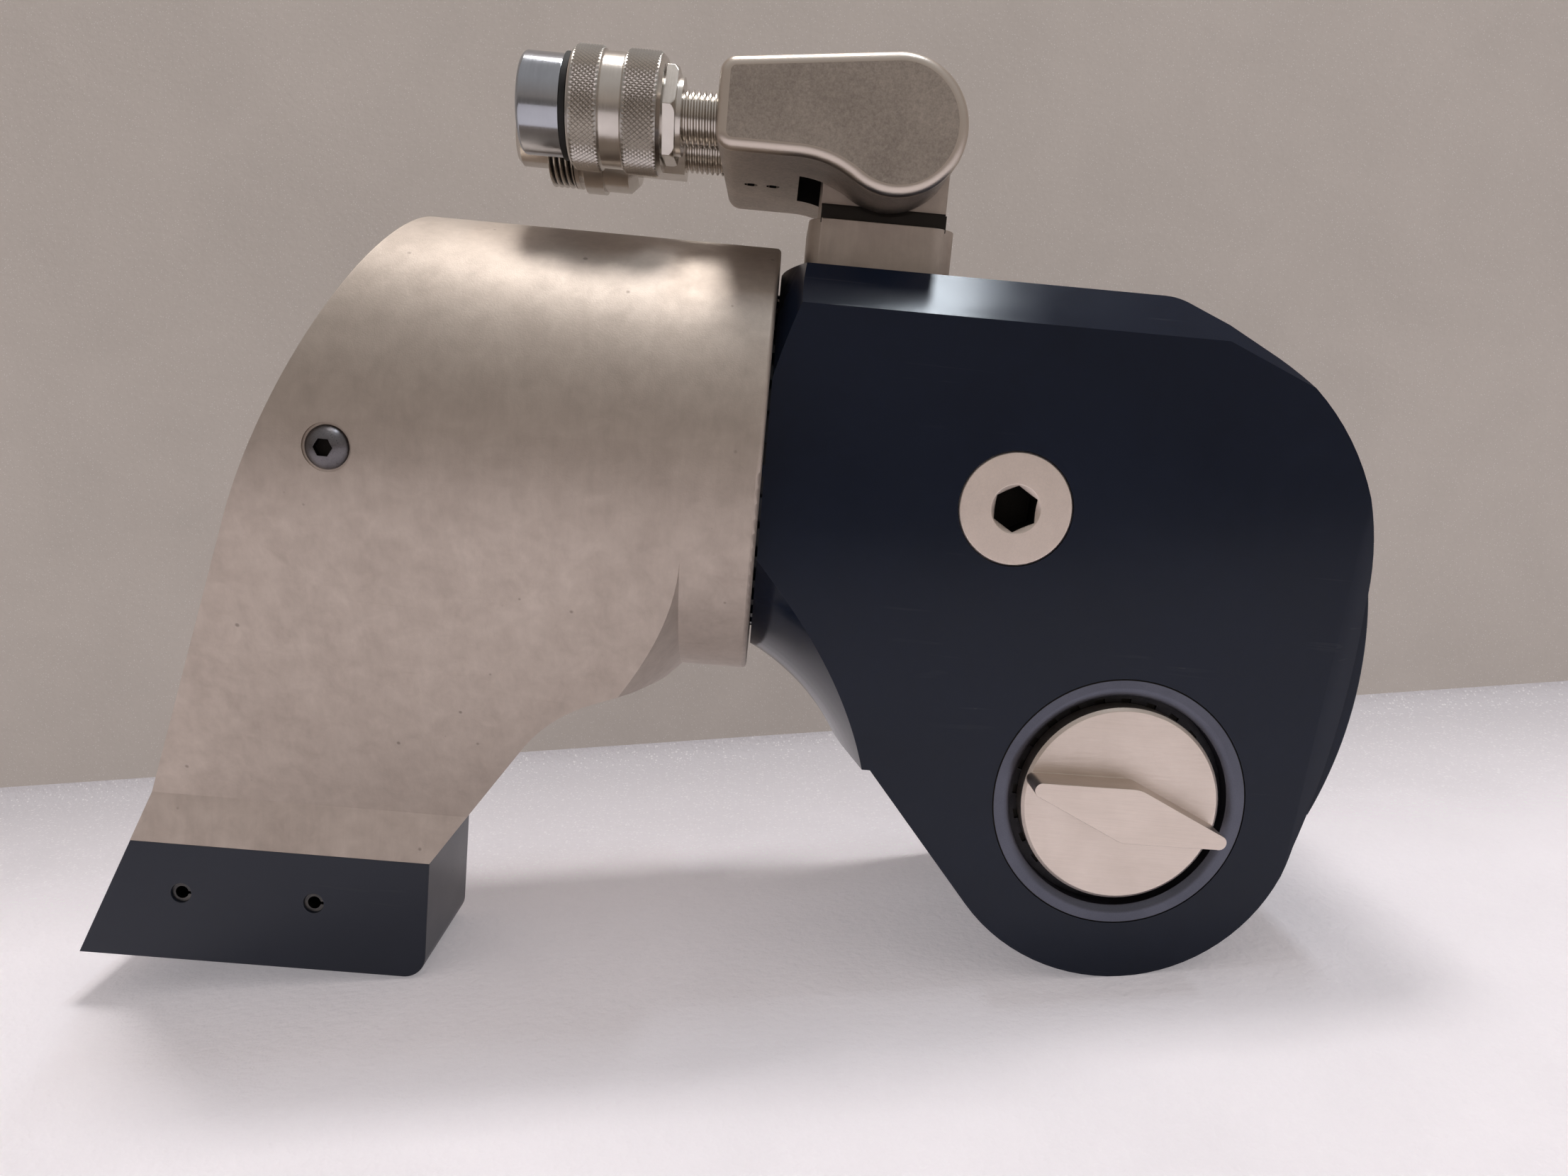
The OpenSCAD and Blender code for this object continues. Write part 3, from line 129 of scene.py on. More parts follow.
def stretch(tree, value, low, high):
    """Value remapped so that low becomes 0 and high becomes 1, clamped."""
    node = tree.nodes.new("ShaderNodeMapRange")
    node.clamp = True
    tree.links.new(value, node.inputs["Value"])
    node.inputs["From Min"].default_value = low
    node.inputs["From Max"].default_value = high
    return node.outputs["Result"]


def build_mottle():
    """Soft clouds and fine grain of a plated or coated surface."""
    group, given, out = new_group(
        "mottle",
        [("Vector", "NodeSocketVector", None), ("Cloud Scale", "NodeSocketFloat", 40.0),
         ("Grain Scale", "NodeSocketFloat", 2500.0)],
        ["Cloud", "Grain"])
    vector = given.outputs["Vector"]
    cloud = noise(group, vector, given.outputs["Cloud Scale"], 4.0, 0.6, 0.4)
    grain = noise(group, vector, given.outputs["Grain Scale"], 2.0, 0.6)
    group.links.new(stretch(group, cloud, 0.3, 0.7), out.inputs["Cloud"])
    group.links.new(stretch(group, grain, 0.25, 0.75), out.inputs["Grain"])
    return group


def build_specks():
    """Rare small spots, such as dust, nicks and pits."""
    group, given, out = new_group(
        "specks",
        [("Vector", "NodeSocketVector", None), ("Scale", "NodeSocketFloat", 150.0),
         ("Share", "NodeSocketFloat", 0.05), ("Spot", "NodeSocketFloat", 0.2)],
        ["Mask"])
    cells = group.nodes.new("ShaderNodeTexVoronoi")
    group.links.new(given.outputs["Vector"], cells.inputs["Vector"])
    group.links.new(given.outputs["Scale"], cells.inputs["Scale"])
    split = group.nodes.new("ShaderNodeSeparateColor")
    group.links.new(cells.outputs["Color"], split.inputs["Color"])
    chosen = math_node(group, "LESS_THAN", split.outputs[0], given.outputs["Share"])
    size = math_node(group, "MULTIPLY", given.outputs["Spot"], split.outputs[1])
    near = math_node(group, "SUBTRACT", size, cells.outputs["Distance"])
    soft = math_node(group, "MULTIPLY", near, 12.0, clamp=True)
    group.links.new(math_node(group, "MULTIPLY", chosen, soft), out.inputs["Mask"])
    return group


def build_scratches():
    """Fine crossing scratches from handling."""
    group, given, out = new_group(
        "scratches",
        [("Vector", "NodeSocketVector", None), ("Scale", "NodeSocketFloat", 60.0),
         ("Share", "NodeSocketFloat", 0.5)],
        ["Mask"])
    total = None
    for turn, squeeze in ((radians(28), 14.0), (radians(-47), 22.0)):
        mapping = group.nodes.new("ShaderNodeMapping")
        mapping.inputs["Rotation"].default_value = (0.0, turn, turn / 3)
        mapping.inputs["Scale"].default_value = (1.0, squeeze, squeeze)
        group.links.new(given.outputs["Vector"], mapping.inputs["Vector"])
        lines = noise(group, mapping.outputs["Vector"], given.outputs["Scale"], 1.0, 0.4, 0.6)
        thin = stretch(group, lines, 0.72, 0.76)
        total = thin if total is None else math_node(group, "MAXIMUM", total, thin)
    patches = stretch(group, noise(group, given.outputs["Vector"], 35.0, 2.0), 0.5, 0.62)
    faint = math_node(group, "MULTIPLY", total, patches)
    group.links.new(math_node(group, "MULTIPLY", faint, given.outputs["Share"]), out.inputs["Mask"])
    return group


def build_brushing():
    """Fine parallel lines of a brushed or turned face, along the longest of the three scales."""
    group, given, out = new_group(
        "brushing", [("Vector", "NodeSocketVector", None), ("Scale", "NodeSocketFloat", 1500.0)], ["Lines"])
    fine = noise(group, given.outputs["Vector"], given.outputs["Scale"], 3.0, 0.7)
    group.links.new(stretch(group, fine, 0.3, 0.7), out.inputs["Lines"])
    return group


MOTTLE = build_mottle()
SPECKS = build_specks()
SCRATCHES = build_scratches()
BRUSHING = build_brushing()


# Materials

# Near-black colour of painted shade, mixed in where a piece marks grooves, pockets, gaps and the step under
# the head.
PAINTED_SHADE_TONE = (0.022, 0.02, 0.018)


class Finish:
    """One procedural material, with short calls for the nodes that its finish needs."""

    def __init__(self, name):
        self.material = bpy.data.materials.new(name)
        self.material.use_nodes = True
        self.tree = self.material.node_tree
        self.shader = self.tree.nodes["Principled BSDF"]
        self.place = self.tree.nodes.new("ShaderNodeTexCoord").outputs["Object"]

    def use(self, group, vector=None, **values):
        """Places a node group, with its values by socket name, and returns its outputs."""
        node = self.tree.nodes.new("ShaderNodeGroup")
        node.node_tree = group
        self.tree.links.new(vector or self.place, node.inputs["Vector"])
        for label, value in values.items():
            node.inputs[label.replace("_", " ")].default_value = value
        return node.outputs

    def squeezed(self, scale, turn=(0.0, 0.0, 0.0)):
        """Object coordinates, turned and squeezed."""
        node = self.tree.nodes.new("ShaderNodeMapping")
        node.inputs["Scale"].default_value = scale
        node.inputs["Rotation"].default_value = turn
        self.tree.links.new(self.place, node.inputs["Vector"])
        return node.outputs["Vector"]

    def mask(self, name):
        """Mask from the piece's own attribute: the edge mark on eased edges, and the painted shade mark in
        grooves, pockets and gaps.
        """
        node = self.tree.nodes.new("ShaderNodeAttribute")
        node.attribute_name = name
        return node.outputs["Fac"]

    def mix(self, mask, first, second):
        """Colour between two colours, each a triple or a socket."""
        node = self.tree.nodes.new("ShaderNodeMix")
        node.data_type = "RGBA"
        self.tree.links.new(mask, node.inputs["Factor"])
        for label, colour in (("A", first), ("B", second)):
            socket = [s for s in node.inputs if s.name == label and s.type == "RGBA"][0]
            if isinstance(colour, tuple):
                socket.default_value = (*colour, 1.0)
            else:
                self.tree.links.new(colour, socket)
        return [s for s in node.outputs if s.type == "RGBA"][0]

    def math(self, operation, first, second=None, third=None, clamp=False):
        return math_node(self.tree, operation, first, second, third, clamp)

    def bump(self, height, distance):
        """Bump on the shader's normal, from a value that stands for a distance in metres."""
        node = self.tree.nodes.new("ShaderNodeBump")
        node.inputs["Strength"].default_value = 1.0
        node.inputs["Distance"].default_value = distance
        self.tree.links.new(height, node.inputs["Height"])
        self.tree.links.new(node.outputs["Normal"], self.shader.inputs["Normal"])

    def set(self, **values):
        """Sets the shader's sockets to constants or links them, by name."""
        for label, value in values.items():
            socket = self.shader.inputs[label.replace("_", " ")]
            if isinstance(value, bpy.types.NodeSocket):
                self.tree.links.new(value, socket)
            elif isinstance(value, tuple):
                socket.default_value = (*value, 1.0)
            else:
                socket.default_value = value
        return self


def coat(name, deep, lifted, worn, rough_low, gloss):
    """Dark coat with soft clouds, nicks, handling scratches and edges that have rubbed paler."""
    finish = Finish(name)
    mottle = finish.use(MOTTLE, Cloud_Scale=24.0, Grain_Scale=5200.0)
    nicks = finish.use(SPECKS, Scale=170.0, Share=0.035, Spot=0.16)["Mask"]
    marks = finish.use(SCRATCHES, Scale=26.0, Share=0.5)["Mask"]
    rubbed = finish.use(MOTTLE, Cloud_Scale=160.0, Grain_Scale=900.0)["Cloud"]
    wear = finish.math("MULTIPLY", finish.math("MULTIPLY", finish.mask("edge"), rubbed), 0.5)
    colour = finish.mix(mottle["Cloud"], deep, lifted)
    colour = finish.mix(finish.math("MULTIPLY", marks, 0.3), colour, worn)
    colour = finish.mix(finish.math("MAXIMUM", wear, nicks), colour, worn)
    rough = finish.math("MULTIPLY_ADD", mottle["Cloud"], 0.07, rough_low)
    rough = finish.math("MULTIPLY_ADD", marks, 0.2, rough)
    finish.bump(mottle["Grain"], 0.000004)
    return finish.set(Base_Color=colour, Roughness=rough, Metallic=0.0, Specular_IOR_Level=gloss).material


def nickel(name, pale, dull, stain):
    """Satin nickel plate with cloudy tone, smears that run down, small dark pits and faint scratches."""
    finish = Finish(name)
    mottle = finish.use(MOTTLE, Cloud_Scale=170.0, Grain_Scale=2600.0)
    smears = finish.use(MOTTLE, finish.squeezed((1.0, 1.0, 0.16)), Cloud_Scale=110.0, Grain_Scale=700.0)
    broad = finish.use(MOTTLE, finish.squeezed((1.0, 1.0, 0.5)), Cloud_Scale=14.0, Grain_Scale=420.0)
    pits = finish.use(SPECKS, Scale=240.0, Share=0.12, Spot=0.2)["Mask"]
    marks = finish.use(SCRATCHES, Scale=22.0, Share=0.7)["Mask"]
    tone = finish.math("MULTIPLY_ADD", broad["Cloud"], 0.4, finish.math("MULTIPLY", mottle["Cloud"], 0.46))
    tone = finish.math("MULTIPLY_ADD", smears["Cloud"], 0.14, tone)
    colour = finish.mix(tone, dull, pale)
    colour = finish.mix(finish.math("MULTIPLY", smears["Grain"], 0.1), colour, stain)
    colour = finish.mix(finish.math("MULTIPLY", pits, 0.6), colour, stain)
    # Painted shade where the piece marks it.
    colour = finish.mix(finish.mask("painted_shade"), colour, PAINTED_SHADE_TONE)
    rough = finish.math("MULTIPLY_ADD", tone, -0.08, 0.6)
    rough = finish.math("MULTIPLY_ADD", marks, 0.1, rough)
    finish.bump(mottle["Grain"], 0.000014)
    return finish.set(Base_Color=colour, Roughness=rough, Metallic=1.0).material


def blasted(name, pale, dull):
    """Bead-blasted plate: a coarse sparkling grain, smoother and paler on rounded edges."""
    finish = Finish(name)
    grain = finish.use(MOTTLE, Cloud_Scale=900.0, Grain_Scale=2300.0)
    cloud = finish.use(MOTTLE, Cloud_Scale=45.0, Grain_Scale=900.0)["Cloud"]
    coarse = finish.math("MULTIPLY_ADD", grain["Grain"], 0.5, finish.math("MULTIPLY", grain["Cloud"], 0.5))
    tone = finish.math("MULTIPLY_ADD", cloud, 0.35, finish.math("MULTIPLY", coarse, 0.65))
    smooth = finish.mask("edge")
    colour = finish.mix(finish.math("MAXIMUM", tone, smooth), dull, pale)
    # Painted shade where the piece marks it, as in the head's slot.
    colour = finish.mix(finish.mask("painted_shade"), colour, PAINTED_SHADE_TONE)
    rough = finish.math("MULTIPLY_ADD", smooth, -0.16, 0.5)
    flat = finish.math("MULTIPLY_ADD", smooth, -0.8, 1.0)
    finish.bump(finish.math("MULTIPLY", coarse, flat), 0.00009)
    return finish.set(Base_Color=colour, Roughness=rough, Metallic=1.0).material


def brushed(name, pale, dull, squeeze, rough_low, turn=(0.0, 0.0, 0.0), depth=0.000008, share=0.5,
            spread=0.16):
    """Metal with fine lines one way, which take a share of its tone, and painted shade in its grooves."""
    finish = Finish(name)
    lines = finish.use(BRUSHING, finish.squeezed(squeeze, turn), Scale=2600.0)["Lines"]
    cloud = finish.use(MOTTLE, Cloud_Scale=60.0, Grain_Scale=1200.0)["Cloud"]
    tone = finish.math("MULTIPLY_ADD", lines, share, finish.math("MULTIPLY", cloud, 1.0 - share))
    # Painted shade in grooves and pockets, sharpened by the power.
    painted_shade = finish.math("POWER", finish.mask("painted_shade"), 3.0)
    colour = finish.mix(painted_shade, finish.mix(tone, dull, pale), PAINTED_SHADE_TONE)
    rough = finish.math("MULTIPLY_ADD", lines, spread, rough_low)
    rough = finish.math("MULTIPLY_ADD", painted_shade, 0.25, rough)
    finish.bump(lines, depth)
    return finish.set(Base_Color=colour, Roughness=rough, Metallic=1.0).material


def dark_metal(name, pale, dull):
    """Blackened, oily steel."""
    finish = Finish(name)
    mottle = finish.use(MOTTLE, Cloud_Scale=300.0, Grain_Scale=3000.0)
    rough = finish.math("MULTIPLY_ADD", mottle["Cloud"], 0.2, 0.28)
    finish.bump(mottle["Grain"], 0.00001)
    colour = finish.mix(mottle["Cloud"], dull, pale)
    return finish.set(Base_Color=colour, Roughness=rough, Metallic=1.0).material


def rubber(name):
    """Matt black seal rubber with a dusty bloom."""
    finish = Finish(name)
    mottle = finish.use(MOTTLE, Cloud_Scale=220.0, Grain_Scale=2500.0)
    colour = finish.mix(mottle["Cloud"], (0.006, 0.006, 0.006), (0.02, 0.02, 0.02))
    finish.bump(mottle["Grain"], 0.00002)
    return finish.set(Base_Color=colour, Roughness=0.7, Metallic=0.0).material


MATERIAL = {
    "black_coat": coat("black_coat", (0.0056, 0.0108, 0.026), (0.008, 0.0142, 0.033), (0.06, 0.066, 0.08),
                       0.12, 0.28),
    "pad_coat": coat("pad_coat", (0.009, 0.0145, 0.031), (0.012, 0.0185, 0.037), (0.07, 0.074, 0.082),
                     0.3, 0.45),
    "satin_nickel": nickel("satin_nickel", (0.635, 0.56, 0.495), (0.475, 0.41, 0.36), (0.2, 0.165, 0.14)),
    "blasted_nickel": blasted("blasted_nickel", (0.63, 0.56, 0.495), (0.27, 0.235, 0.205)),
    "machined_steel": brushed("machined_steel", (0.56, 0.55, 0.54), (0.40, 0.40, 0.40), (1.0, 0.06, 1.0),
                              0.24),
    "coupler_steel": brushed("coupler_steel", (0.72, 0.68, 0.63), (0.53, 0.495, 0.455), (1.0, 0.05, 0.05), 0.2,
                             depth=0.000001, share=0.15, spread=0.05),
    "polished_steel": brushed("polished_steel", (0.49, 0.515, 0.56), (0.38, 0.40, 0.44), (1.0, 0.05, 0.05),
                              0.1, depth=0.000001, share=0.2, spread=0.08),
    "dark_steel": dark_metal("dark_steel", (0.12, 0.115, 0.11), (0.05, 0.05, 0.052)),
    "gland_bronze": brushed("gland_bronze", (0.50, 0.32, 0.13), (0.38, 0.23, 0.09), (1.0, 0.05, 0.05), 0.3),
    "seal_rubber": rubber("seal_rubber"),
}
KNOB_NICKEL = brushed("knob_nickel", (0.85, 0.755, 0.685), (0.66, 0.575, 0.51), (0.03, 0.5, 1.0), 0.32,
                      (0.0, radians(-9), 0.0))
PLUG_NICKEL = brushed("plug_nickel", (0.91, 0.80, 0.72), (0.76, 0.665, 0.60), (1.0, 1.0, 1.0), 0.36)
SCREW_STEEL = brushed("screw_steel", (0.22, 0.21, 0.22), (0.12, 0.115, 0.12), (1.0, 1.0, 1.0), 0.26)
BUSH_STEEL = brushed("bush_steel", (0.145, 0.152, 0.19), (0.095, 0.10, 0.127), (1.0, 0.05, 1.0), 0.3)
# The ratchet's steel: oily, and near black as painted shade in the recess round the knob.
OILY_SHADED_STEEL = dark_metal("oily_shaded_steel", (0.035, 0.034, 0.036), (0.015, 0.015, 0.017))


# Mesh helpers

def cad_copy(node):
    """Merged copy of a node's mesh, with flat areas joined into single faces."""
    bm = bmesh.new()
    bm.from_mesh(NODES[node].data)
    bmesh.ops.remove_doubles(bm, verts=bm.verts, dist=0.002 * MM)
    bmesh.ops.dissolve_limit(bm, angle_limit=radians(0.3), verts=bm.verts, edges=bm.edges)
    return bm


def sharp_edges(bm, where=None, least=radians(24)):
    """Edges between faces that meet at an angle, kept where a test on the edge's middle says so."""
    found = []
    for edge in bm.edges:
        if len(edge.link_faces) != 2 or edge.calc_face_angle(0.0) < least:
            continue
        middle = (edge.verts[0].co + edge.verts[1].co) / 2
        if where is None or where(middle):
            found.append(edge)
    return found


def ease(bm, edges, width, segments=3):
    """Rounds edges and marks the new faces for the finishes that wear there."""
    mark = bm.faces.layers.float.get("edge") or bm.faces.layers.float.new("edge")
    made = bmesh.ops.bevel(bm, geom=edges, offset=width, offset_type="OFFSET", segments=segments, profile=0.5,
                           affect="EDGES", material=-1, clamp_overlap=True)
    for face in made["faces"]:
        face[mark] = 1.0


def shade_grooves(bm, axis, low, high, crest, depth):
    """Marks the valleys of a thread or knurl round a line along X, between two places, for painted shade."""
    mark = bm.verts.layers.float.get("painted_shade") or bm.verts.layers.float.new("painted_shade")
    for vert in bm.verts:
        away = Vector((0, vert.co.y - axis.y, vert.co.z - axis.z)).length
        sunk = (crest - away) / depth
        if low < vert.co.x < high and sunk < 1.5:
            vert[mark] = min(1.0, max(0.0, sunk))


def shade_faces(bm, where, amount=1.0):
    """Marks whole faces for painted shade, where a test on the face's middle and normal says so."""
    mark = bm.faces.layers.float.get("painted_shade") or bm.faces.layers.float.new("painted_shade")
    bm.normal_update()
    for face in bm.faces:
        if where(face.calc_center_median(), face.normal):
            face[mark] = amount


def finished(bm, name, body, slot, material=None, replaced=(), sharp=radians(32)):
    """Turns a bmesh into a piece that rides on a body and stands for nodes."""
    bm.normal_update()
    for face in bm.faces:
        face.smooth = True
    for edge in bm.edges:
        edge.smooth = edge.calc_face_angle(pi) < sharp
    mesh = bpy.data.meshes.new(name)
    bm.to_mesh(mesh)
    bm.free()
    mesh.materials.append(material or MATERIAL[slot])
    piece = bpy.data.objects.new(name, mesh)
    bpy.context.scene.collection.objects.link(piece)
    weighted = piece.modifiers.new("weighted", "WEIGHTED_NORMAL")
    weighted.keep_sharp = True
    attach(piece, body)
    if replaced:
        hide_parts(*replaced)
    return piece


def eased_node(node, width, where=None, material=None, shade_where=None):
    """Copy of a node with its edges rounded, in the node's place, with painted shade where a test says so."""
    bm = cad_copy(node)
    ease(bm, sharp_edges(bm, where), width)
    if shade_where:
        shade_faces(bm, shade_where)
    return finished(bm, "eased_" + node, BODY_OF[node], SLOT_OF[node], material, [node])


def pocket(node, radius, depth):
    """Test for points in the key socket of a node that faces the front."""
    low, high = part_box(node)
    middle = (low + high) / 2

    def inside(point, _):
        away = Vector((point.x - middle.x, 0, point.z - middle.z)).length
        return away < radius and point.y > low.y + depth

    return inside


def turn_of(vert, axis):
    """Angle of a vertex round a line along X, from 0 to a full turn."""
    return atan2(vert.co.z - axis.z, vert.co.y - axis.y) % (2 * pi)


def rings(edges, axis):
    """Closed loops of edges round a line along X, each as its vertices in the order of their angles."""
    beside = {}
    for edge in edges:
        for vert in edge.verts:
            beside.setdefault(vert, []).append(edge.other_vert(vert))
    found = []
    left = sorted(beside, key=lambda v: (turn_of(v, axis), v.co.x, v.co.z))
    while left:
        ring = [left[0]]
        step = min(beside[left[0]], key=lambda v: (turn_of(v, axis) - turn_of(left[0], axis)) % (2 * pi))
        while step is not ring[0]:
            ring.append(step)
            step = [v for v in beside[step] if v is not ring[-2]][0]
        found.append(ring)
        left = [v for v in left if v not in ring]
    return found


def stitch(bm, first, second, axis):
    """Joins two rings round a line along X with triangles, in the order of their angles."""
    turns = [[turn_of(v, axis) for v in ring] + [turn_of(ring[0], axis) + 2 * pi] for ring in (first, second)]
    i = j = 0
    while i < len(first) or j < len(second):
        here, there = first[i % len(first)], second[j % len(second)]
        if j == len(second) or (i < len(first) and turns[0][i + 1] <= turns[1][j + 1]):
            i += 1
            bm.faces.new((here, first[i % len(first)], there))
        else:
            j += 1
            bm.faces.new((here, second[j % len(second)], there))
    bmesh.ops.recalc_face_normals(bm, faces=bm.faces)


def cut_away(bm, x, keep_above):
    """Cuts a shape across its length at a place along X and keeps one side of it."""
    bmesh.ops.bisect_plane(bm, geom=[*bm.verts, *bm.edges, *bm.faces], dist=0.0001 * MM, plane_co=(x, 0, 0),
                           plane_no=(1, 0, 0), clear_inner=keep_above, clear_outer=not keep_above)


def rim_at(bm, x):
    """Open edges of a cut at a place along X."""
    return [e for e in bm.edges if e.is_boundary and all(abs(v.co.x - x) < 0.001 * MM for v in e.verts)]


def cut_across(bm, x, keep_above, axis):
    """Cuts a hollow shape across its length and closes the cut with a ring from its outside to its bore."""
    cut_away(bm, x, keep_above)
    stitch(bm, *rings(rim_at(bm, x), axis), axis)


def join(bm, other):
    """Adds another shape to a bmesh and frees it."""
    spare = bpy.data.meshes.new("joined")
    other.to_mesh(spare)
    other.free()
    bm.from_mesh(spare)
    bpy.data.meshes.remove(spare)


# Couplers

def turned(profile, axis, steps):
    """Ring shape: a closed profile of (x, radius) spun round a line along X."""
    bm = bmesh.new()
    verts = [bm.verts.new((x, axis.y, axis.z + r)) for x, r in profile]
    edges = [bm.edges.new(pair) for pair in zip(verts, verts[1:] + verts[:1])]
    bmesh.ops.spin(bm, geom=verts + edges, cent=(0, axis.y, axis.z), axis=(1, 0, 0), angle=2 * pi, steps=steps,
                   use_merge=True)
    bmesh.ops.remove_doubles(bm, verts=bm.verts, dist=0.0005 * MM)
    bmesh.ops.recalc_face_normals(bm, faces=bm.faces)
    return bm


def knurl(bm, chosen, height):
    """Turns the grid of faces that a test chooses into raised diamonds with crossed grooves between them."""
    faces = [f for f in bm.faces if chosen(f)]
    inner = [e for e in bm.edges if all(chosen(face) for face in e.link_faces)]
    bmesh.ops.poke(bm, faces=faces, offset=0.0)
    bmesh.ops.dissolve_edges(bm, edges=inner, use_verts=False)
    bm.normal_update()
    bmesh.ops.poke(bm, faces=[f for f in bm.faces if len(f.verts) == 4 and chosen(f)], offset=height)


def grid(low, high, count):
    """Evenly spaced values from low to high."""
    return [low + (high - low) * i / count for i in range(count + 1)]


def knurled_collar():
    """Collar with two knurled bands and a smooth band between them."""
    outside = 15.1 * MM
    height = 0.5 * MM
    ground = outside - height
    smooth = 14.0 * MM
    bore = 10.05 * MM
    left = COLLAR_LOW.x
    right = COLLAR_HIGH.x
    bands = ((left + 0.7 * MM, left + 7.7 * MM, 5), (right - 9.5 * MM, right - 1.0 * MM, 6))
    profile = [(left, bore), (left, ground - 0.7 * MM)]
    for low, high, count in bands:
        profile += [(x, ground) for x in grid(low, high, count)]
        if high < COLLAR_LOW.x + 10 * MM:
            profile += [(left + 8.2 * MM, smooth), (right - 10.0 * MM, smooth)]
    profile += [(right, ground - 1.0 * MM), (right, bore)]
    bm = turned(profile, SOCKET_AXIS, 76)

    def in_band(face):
        middle = face.calc_center_median()
        away = (Vector((0, middle.y, middle.z)) - Vector((0, SOCKET_AXIS.y, SOCKET_AXIS.z))).length
        return away > ground - 0.05 * MM and any(low < middle.x < high for low, high, _ in bands)

    knurl(bm, in_band, height)
    # Painted shade in the knurl's valleys.
    for low, high, _ in bands:
        shade_grooves(bm, SOCKET_AXIS, low - 0.1 * MM, high + 0.1 * MM, outside, height * 1.5)
    finished(bm, "knurled_collar", BODY_OF["socket_collar"], SLOT_OF["socket_collar"], None, ["socket_collar"],
             radians(20))


def threaded_tube(low, high, axis, crest, depth, pitch, bore):
    """Tube with a screw thread outside, between two places along X."""
    per_turn = 40
    turns = int((high - low) / pitch) + 3
    bm = bmesh.new()
    outline = ((0.0, crest), (0.22, crest), (0.5, crest - depth), (0.72, crest - depth), (1.0, crest))
    verts = [bm.verts.new((low + (t - 1.5) * pitch, axis.y, axis.z + r)) for t, r in outline]
    edges = [bm.edges.new(pair) for pair in zip(verts, verts[1:])]
    bmesh.ops.spin(bm, geom=verts + edges, cent=(0, axis.y, axis.z), axis=(1, 0, 0),
                   dvec=(pitch / per_turn, 0, 0), angle=2 * pi * turns, steps=per_turn * turns)
    bmesh.ops.remove_doubles(bm, verts=bm.verts, dist=0.002 * MM)
    cut_away(bm, low, True)
    cut_away(bm, high, False)
    mouths = []
    for x in (low, high):
        made = bmesh.ops.extrude_edge_only(bm, edges=rim_at(bm, x))["geom"]
        for vert in (v for v in made if isinstance(v, bmesh.types.BMVert)):
            out = Vector((0, vert.co.y - axis.y, vert.co.z - axis.z)).normalized()
            vert.co = Vector((x, axis.y, axis.z)) + out * bore
        mouths += rings([e for e in made if isinstance(e, bmesh.types.BMEdge) and e.is_boundary], axis)
    stitch(bm, *mouths, axis)
    bmesh.ops.remove_doubles(bm, verts=bm.verts, dist=0.002 * MM)
    return bm


NECK_CREST = 6.85 * MM
NECK_DEPTH = 0.75 * MM
NECK_PITCH = 1.45 * MM
NECK_BORE = 3.0 * MM
NECK_START = HEAD_LOW.x - 11.2 * MM
SCREW_CREST = 14.0 * MM
SCREW_DEPTH = 1.0 * MM
SCREW_PITCH = 1.6 * MM
SCREW_BORE = 6.3 * MM


def socket_fitting():
    """Female coupler's body: its hex as modelled, with a pipe thread on its neck."""
    bm = cad_copy("socket_body")
    cut = NECK_START + 1.3 * MM - 0.02 * MM
    cut_across(bm, cut, False, SOCKET_AXIS)
    ease(bm, sharp_edges(bm, lambda p: NECK_START - 2.9 * MM < p.x < cut - 0.1 * MM), 0.25 * MM, 2)
    join(bm, threaded_tube(cut - 0.1 * MM, SOCKET_HIGH.x, SOCKET_AXIS, NECK_CREST, NECK_DEPTH, NECK_PITCH,
                           NECK_BORE))
    # Painted shade in the thread's valleys.
    shade_grooves(bm, SOCKET_AXIS, cut, SOCKET_HIGH.x, NECK_CREST, NECK_DEPTH * 2.2)
    finished(bm, "socket_fitting", BODY_OF["socket_body"], SLOT_OF["socket_body"], None, ["socket_body"])


def nipple_fitting():
    """Male coupler's body, with a pipe thread on its neck and a coarse thread behind its nose."""
    screw_low = NIPPLE_LOW.x + 10.0 * MM
    screw_high = screw_low + 6.8 * MM
    skin = 0.05 * MM
    bm = cad_copy("nipple_body")
    cut_across(bm, NECK_START - skin, False, NIPPLE_AXIS)
    cut_across(bm, screw_high + skin, True, NIPPLE_AXIS)
    clear = 0.5 * MM
    ease(bm, sharp_edges(bm, lambda p: screw_high + clear < p.x < NECK_START - clear), 0.3 * MM, 2)
    nose = cad_copy("nipple_body")
    cut_across(nose, screw_low - skin, False, NIPPLE_AXIS)
    join(bm, nose)
    join(bm, threaded_tube(NECK_START - 2 * skin, NIPPLE_HIGH.x, NIPPLE_AXIS, NECK_CREST, NECK_DEPTH,
                           NECK_PITCH, NECK_BORE))
    join(bm, threaded_tube(screw_low - 2 * skin, screw_high + 2 * skin, NIPPLE_AXIS, SCREW_CREST, SCREW_DEPTH,
                           SCREW_PITCH, SCREW_BORE))
    # Painted shade in the valleys of both threads.
    shade_grooves(bm, NIPPLE_AXIS, NECK_START, NIPPLE_HIGH.x, NECK_CREST, NECK_DEPTH * 2.2)
    shade_grooves(bm, NIPPLE_AXIS, screw_low, screw_high, SCREW_CREST, SCREW_DEPTH)
    finished(bm, "nipple_fitting", BODY_OF["nipple_body"], SLOT_OF["nipple_body"], None, ["nipple_body"])


# Springs, copied from their nodes

def pressed_spring(node):
    """Copy of a spring with a mesh of its own, in the node's place."""
    piece = finished(cad_copy(node), "pressed_" + node, BODY_OF[node], SLOT_OF[node], None, [node])
    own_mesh(piece)


# Pieces with eased edges

def outside_housing(point):
    """True on the housing's outer skin, and not in its slot, bores or spline."""
    on_side = abs(abs(point.y) - HOUSING_HIGH.y) < 0.2 * MM
    return on_side or (point.x > SHOULDER_X and abs(point.y) > CHAMFER_Y and point.z > CHAMFER_Z)


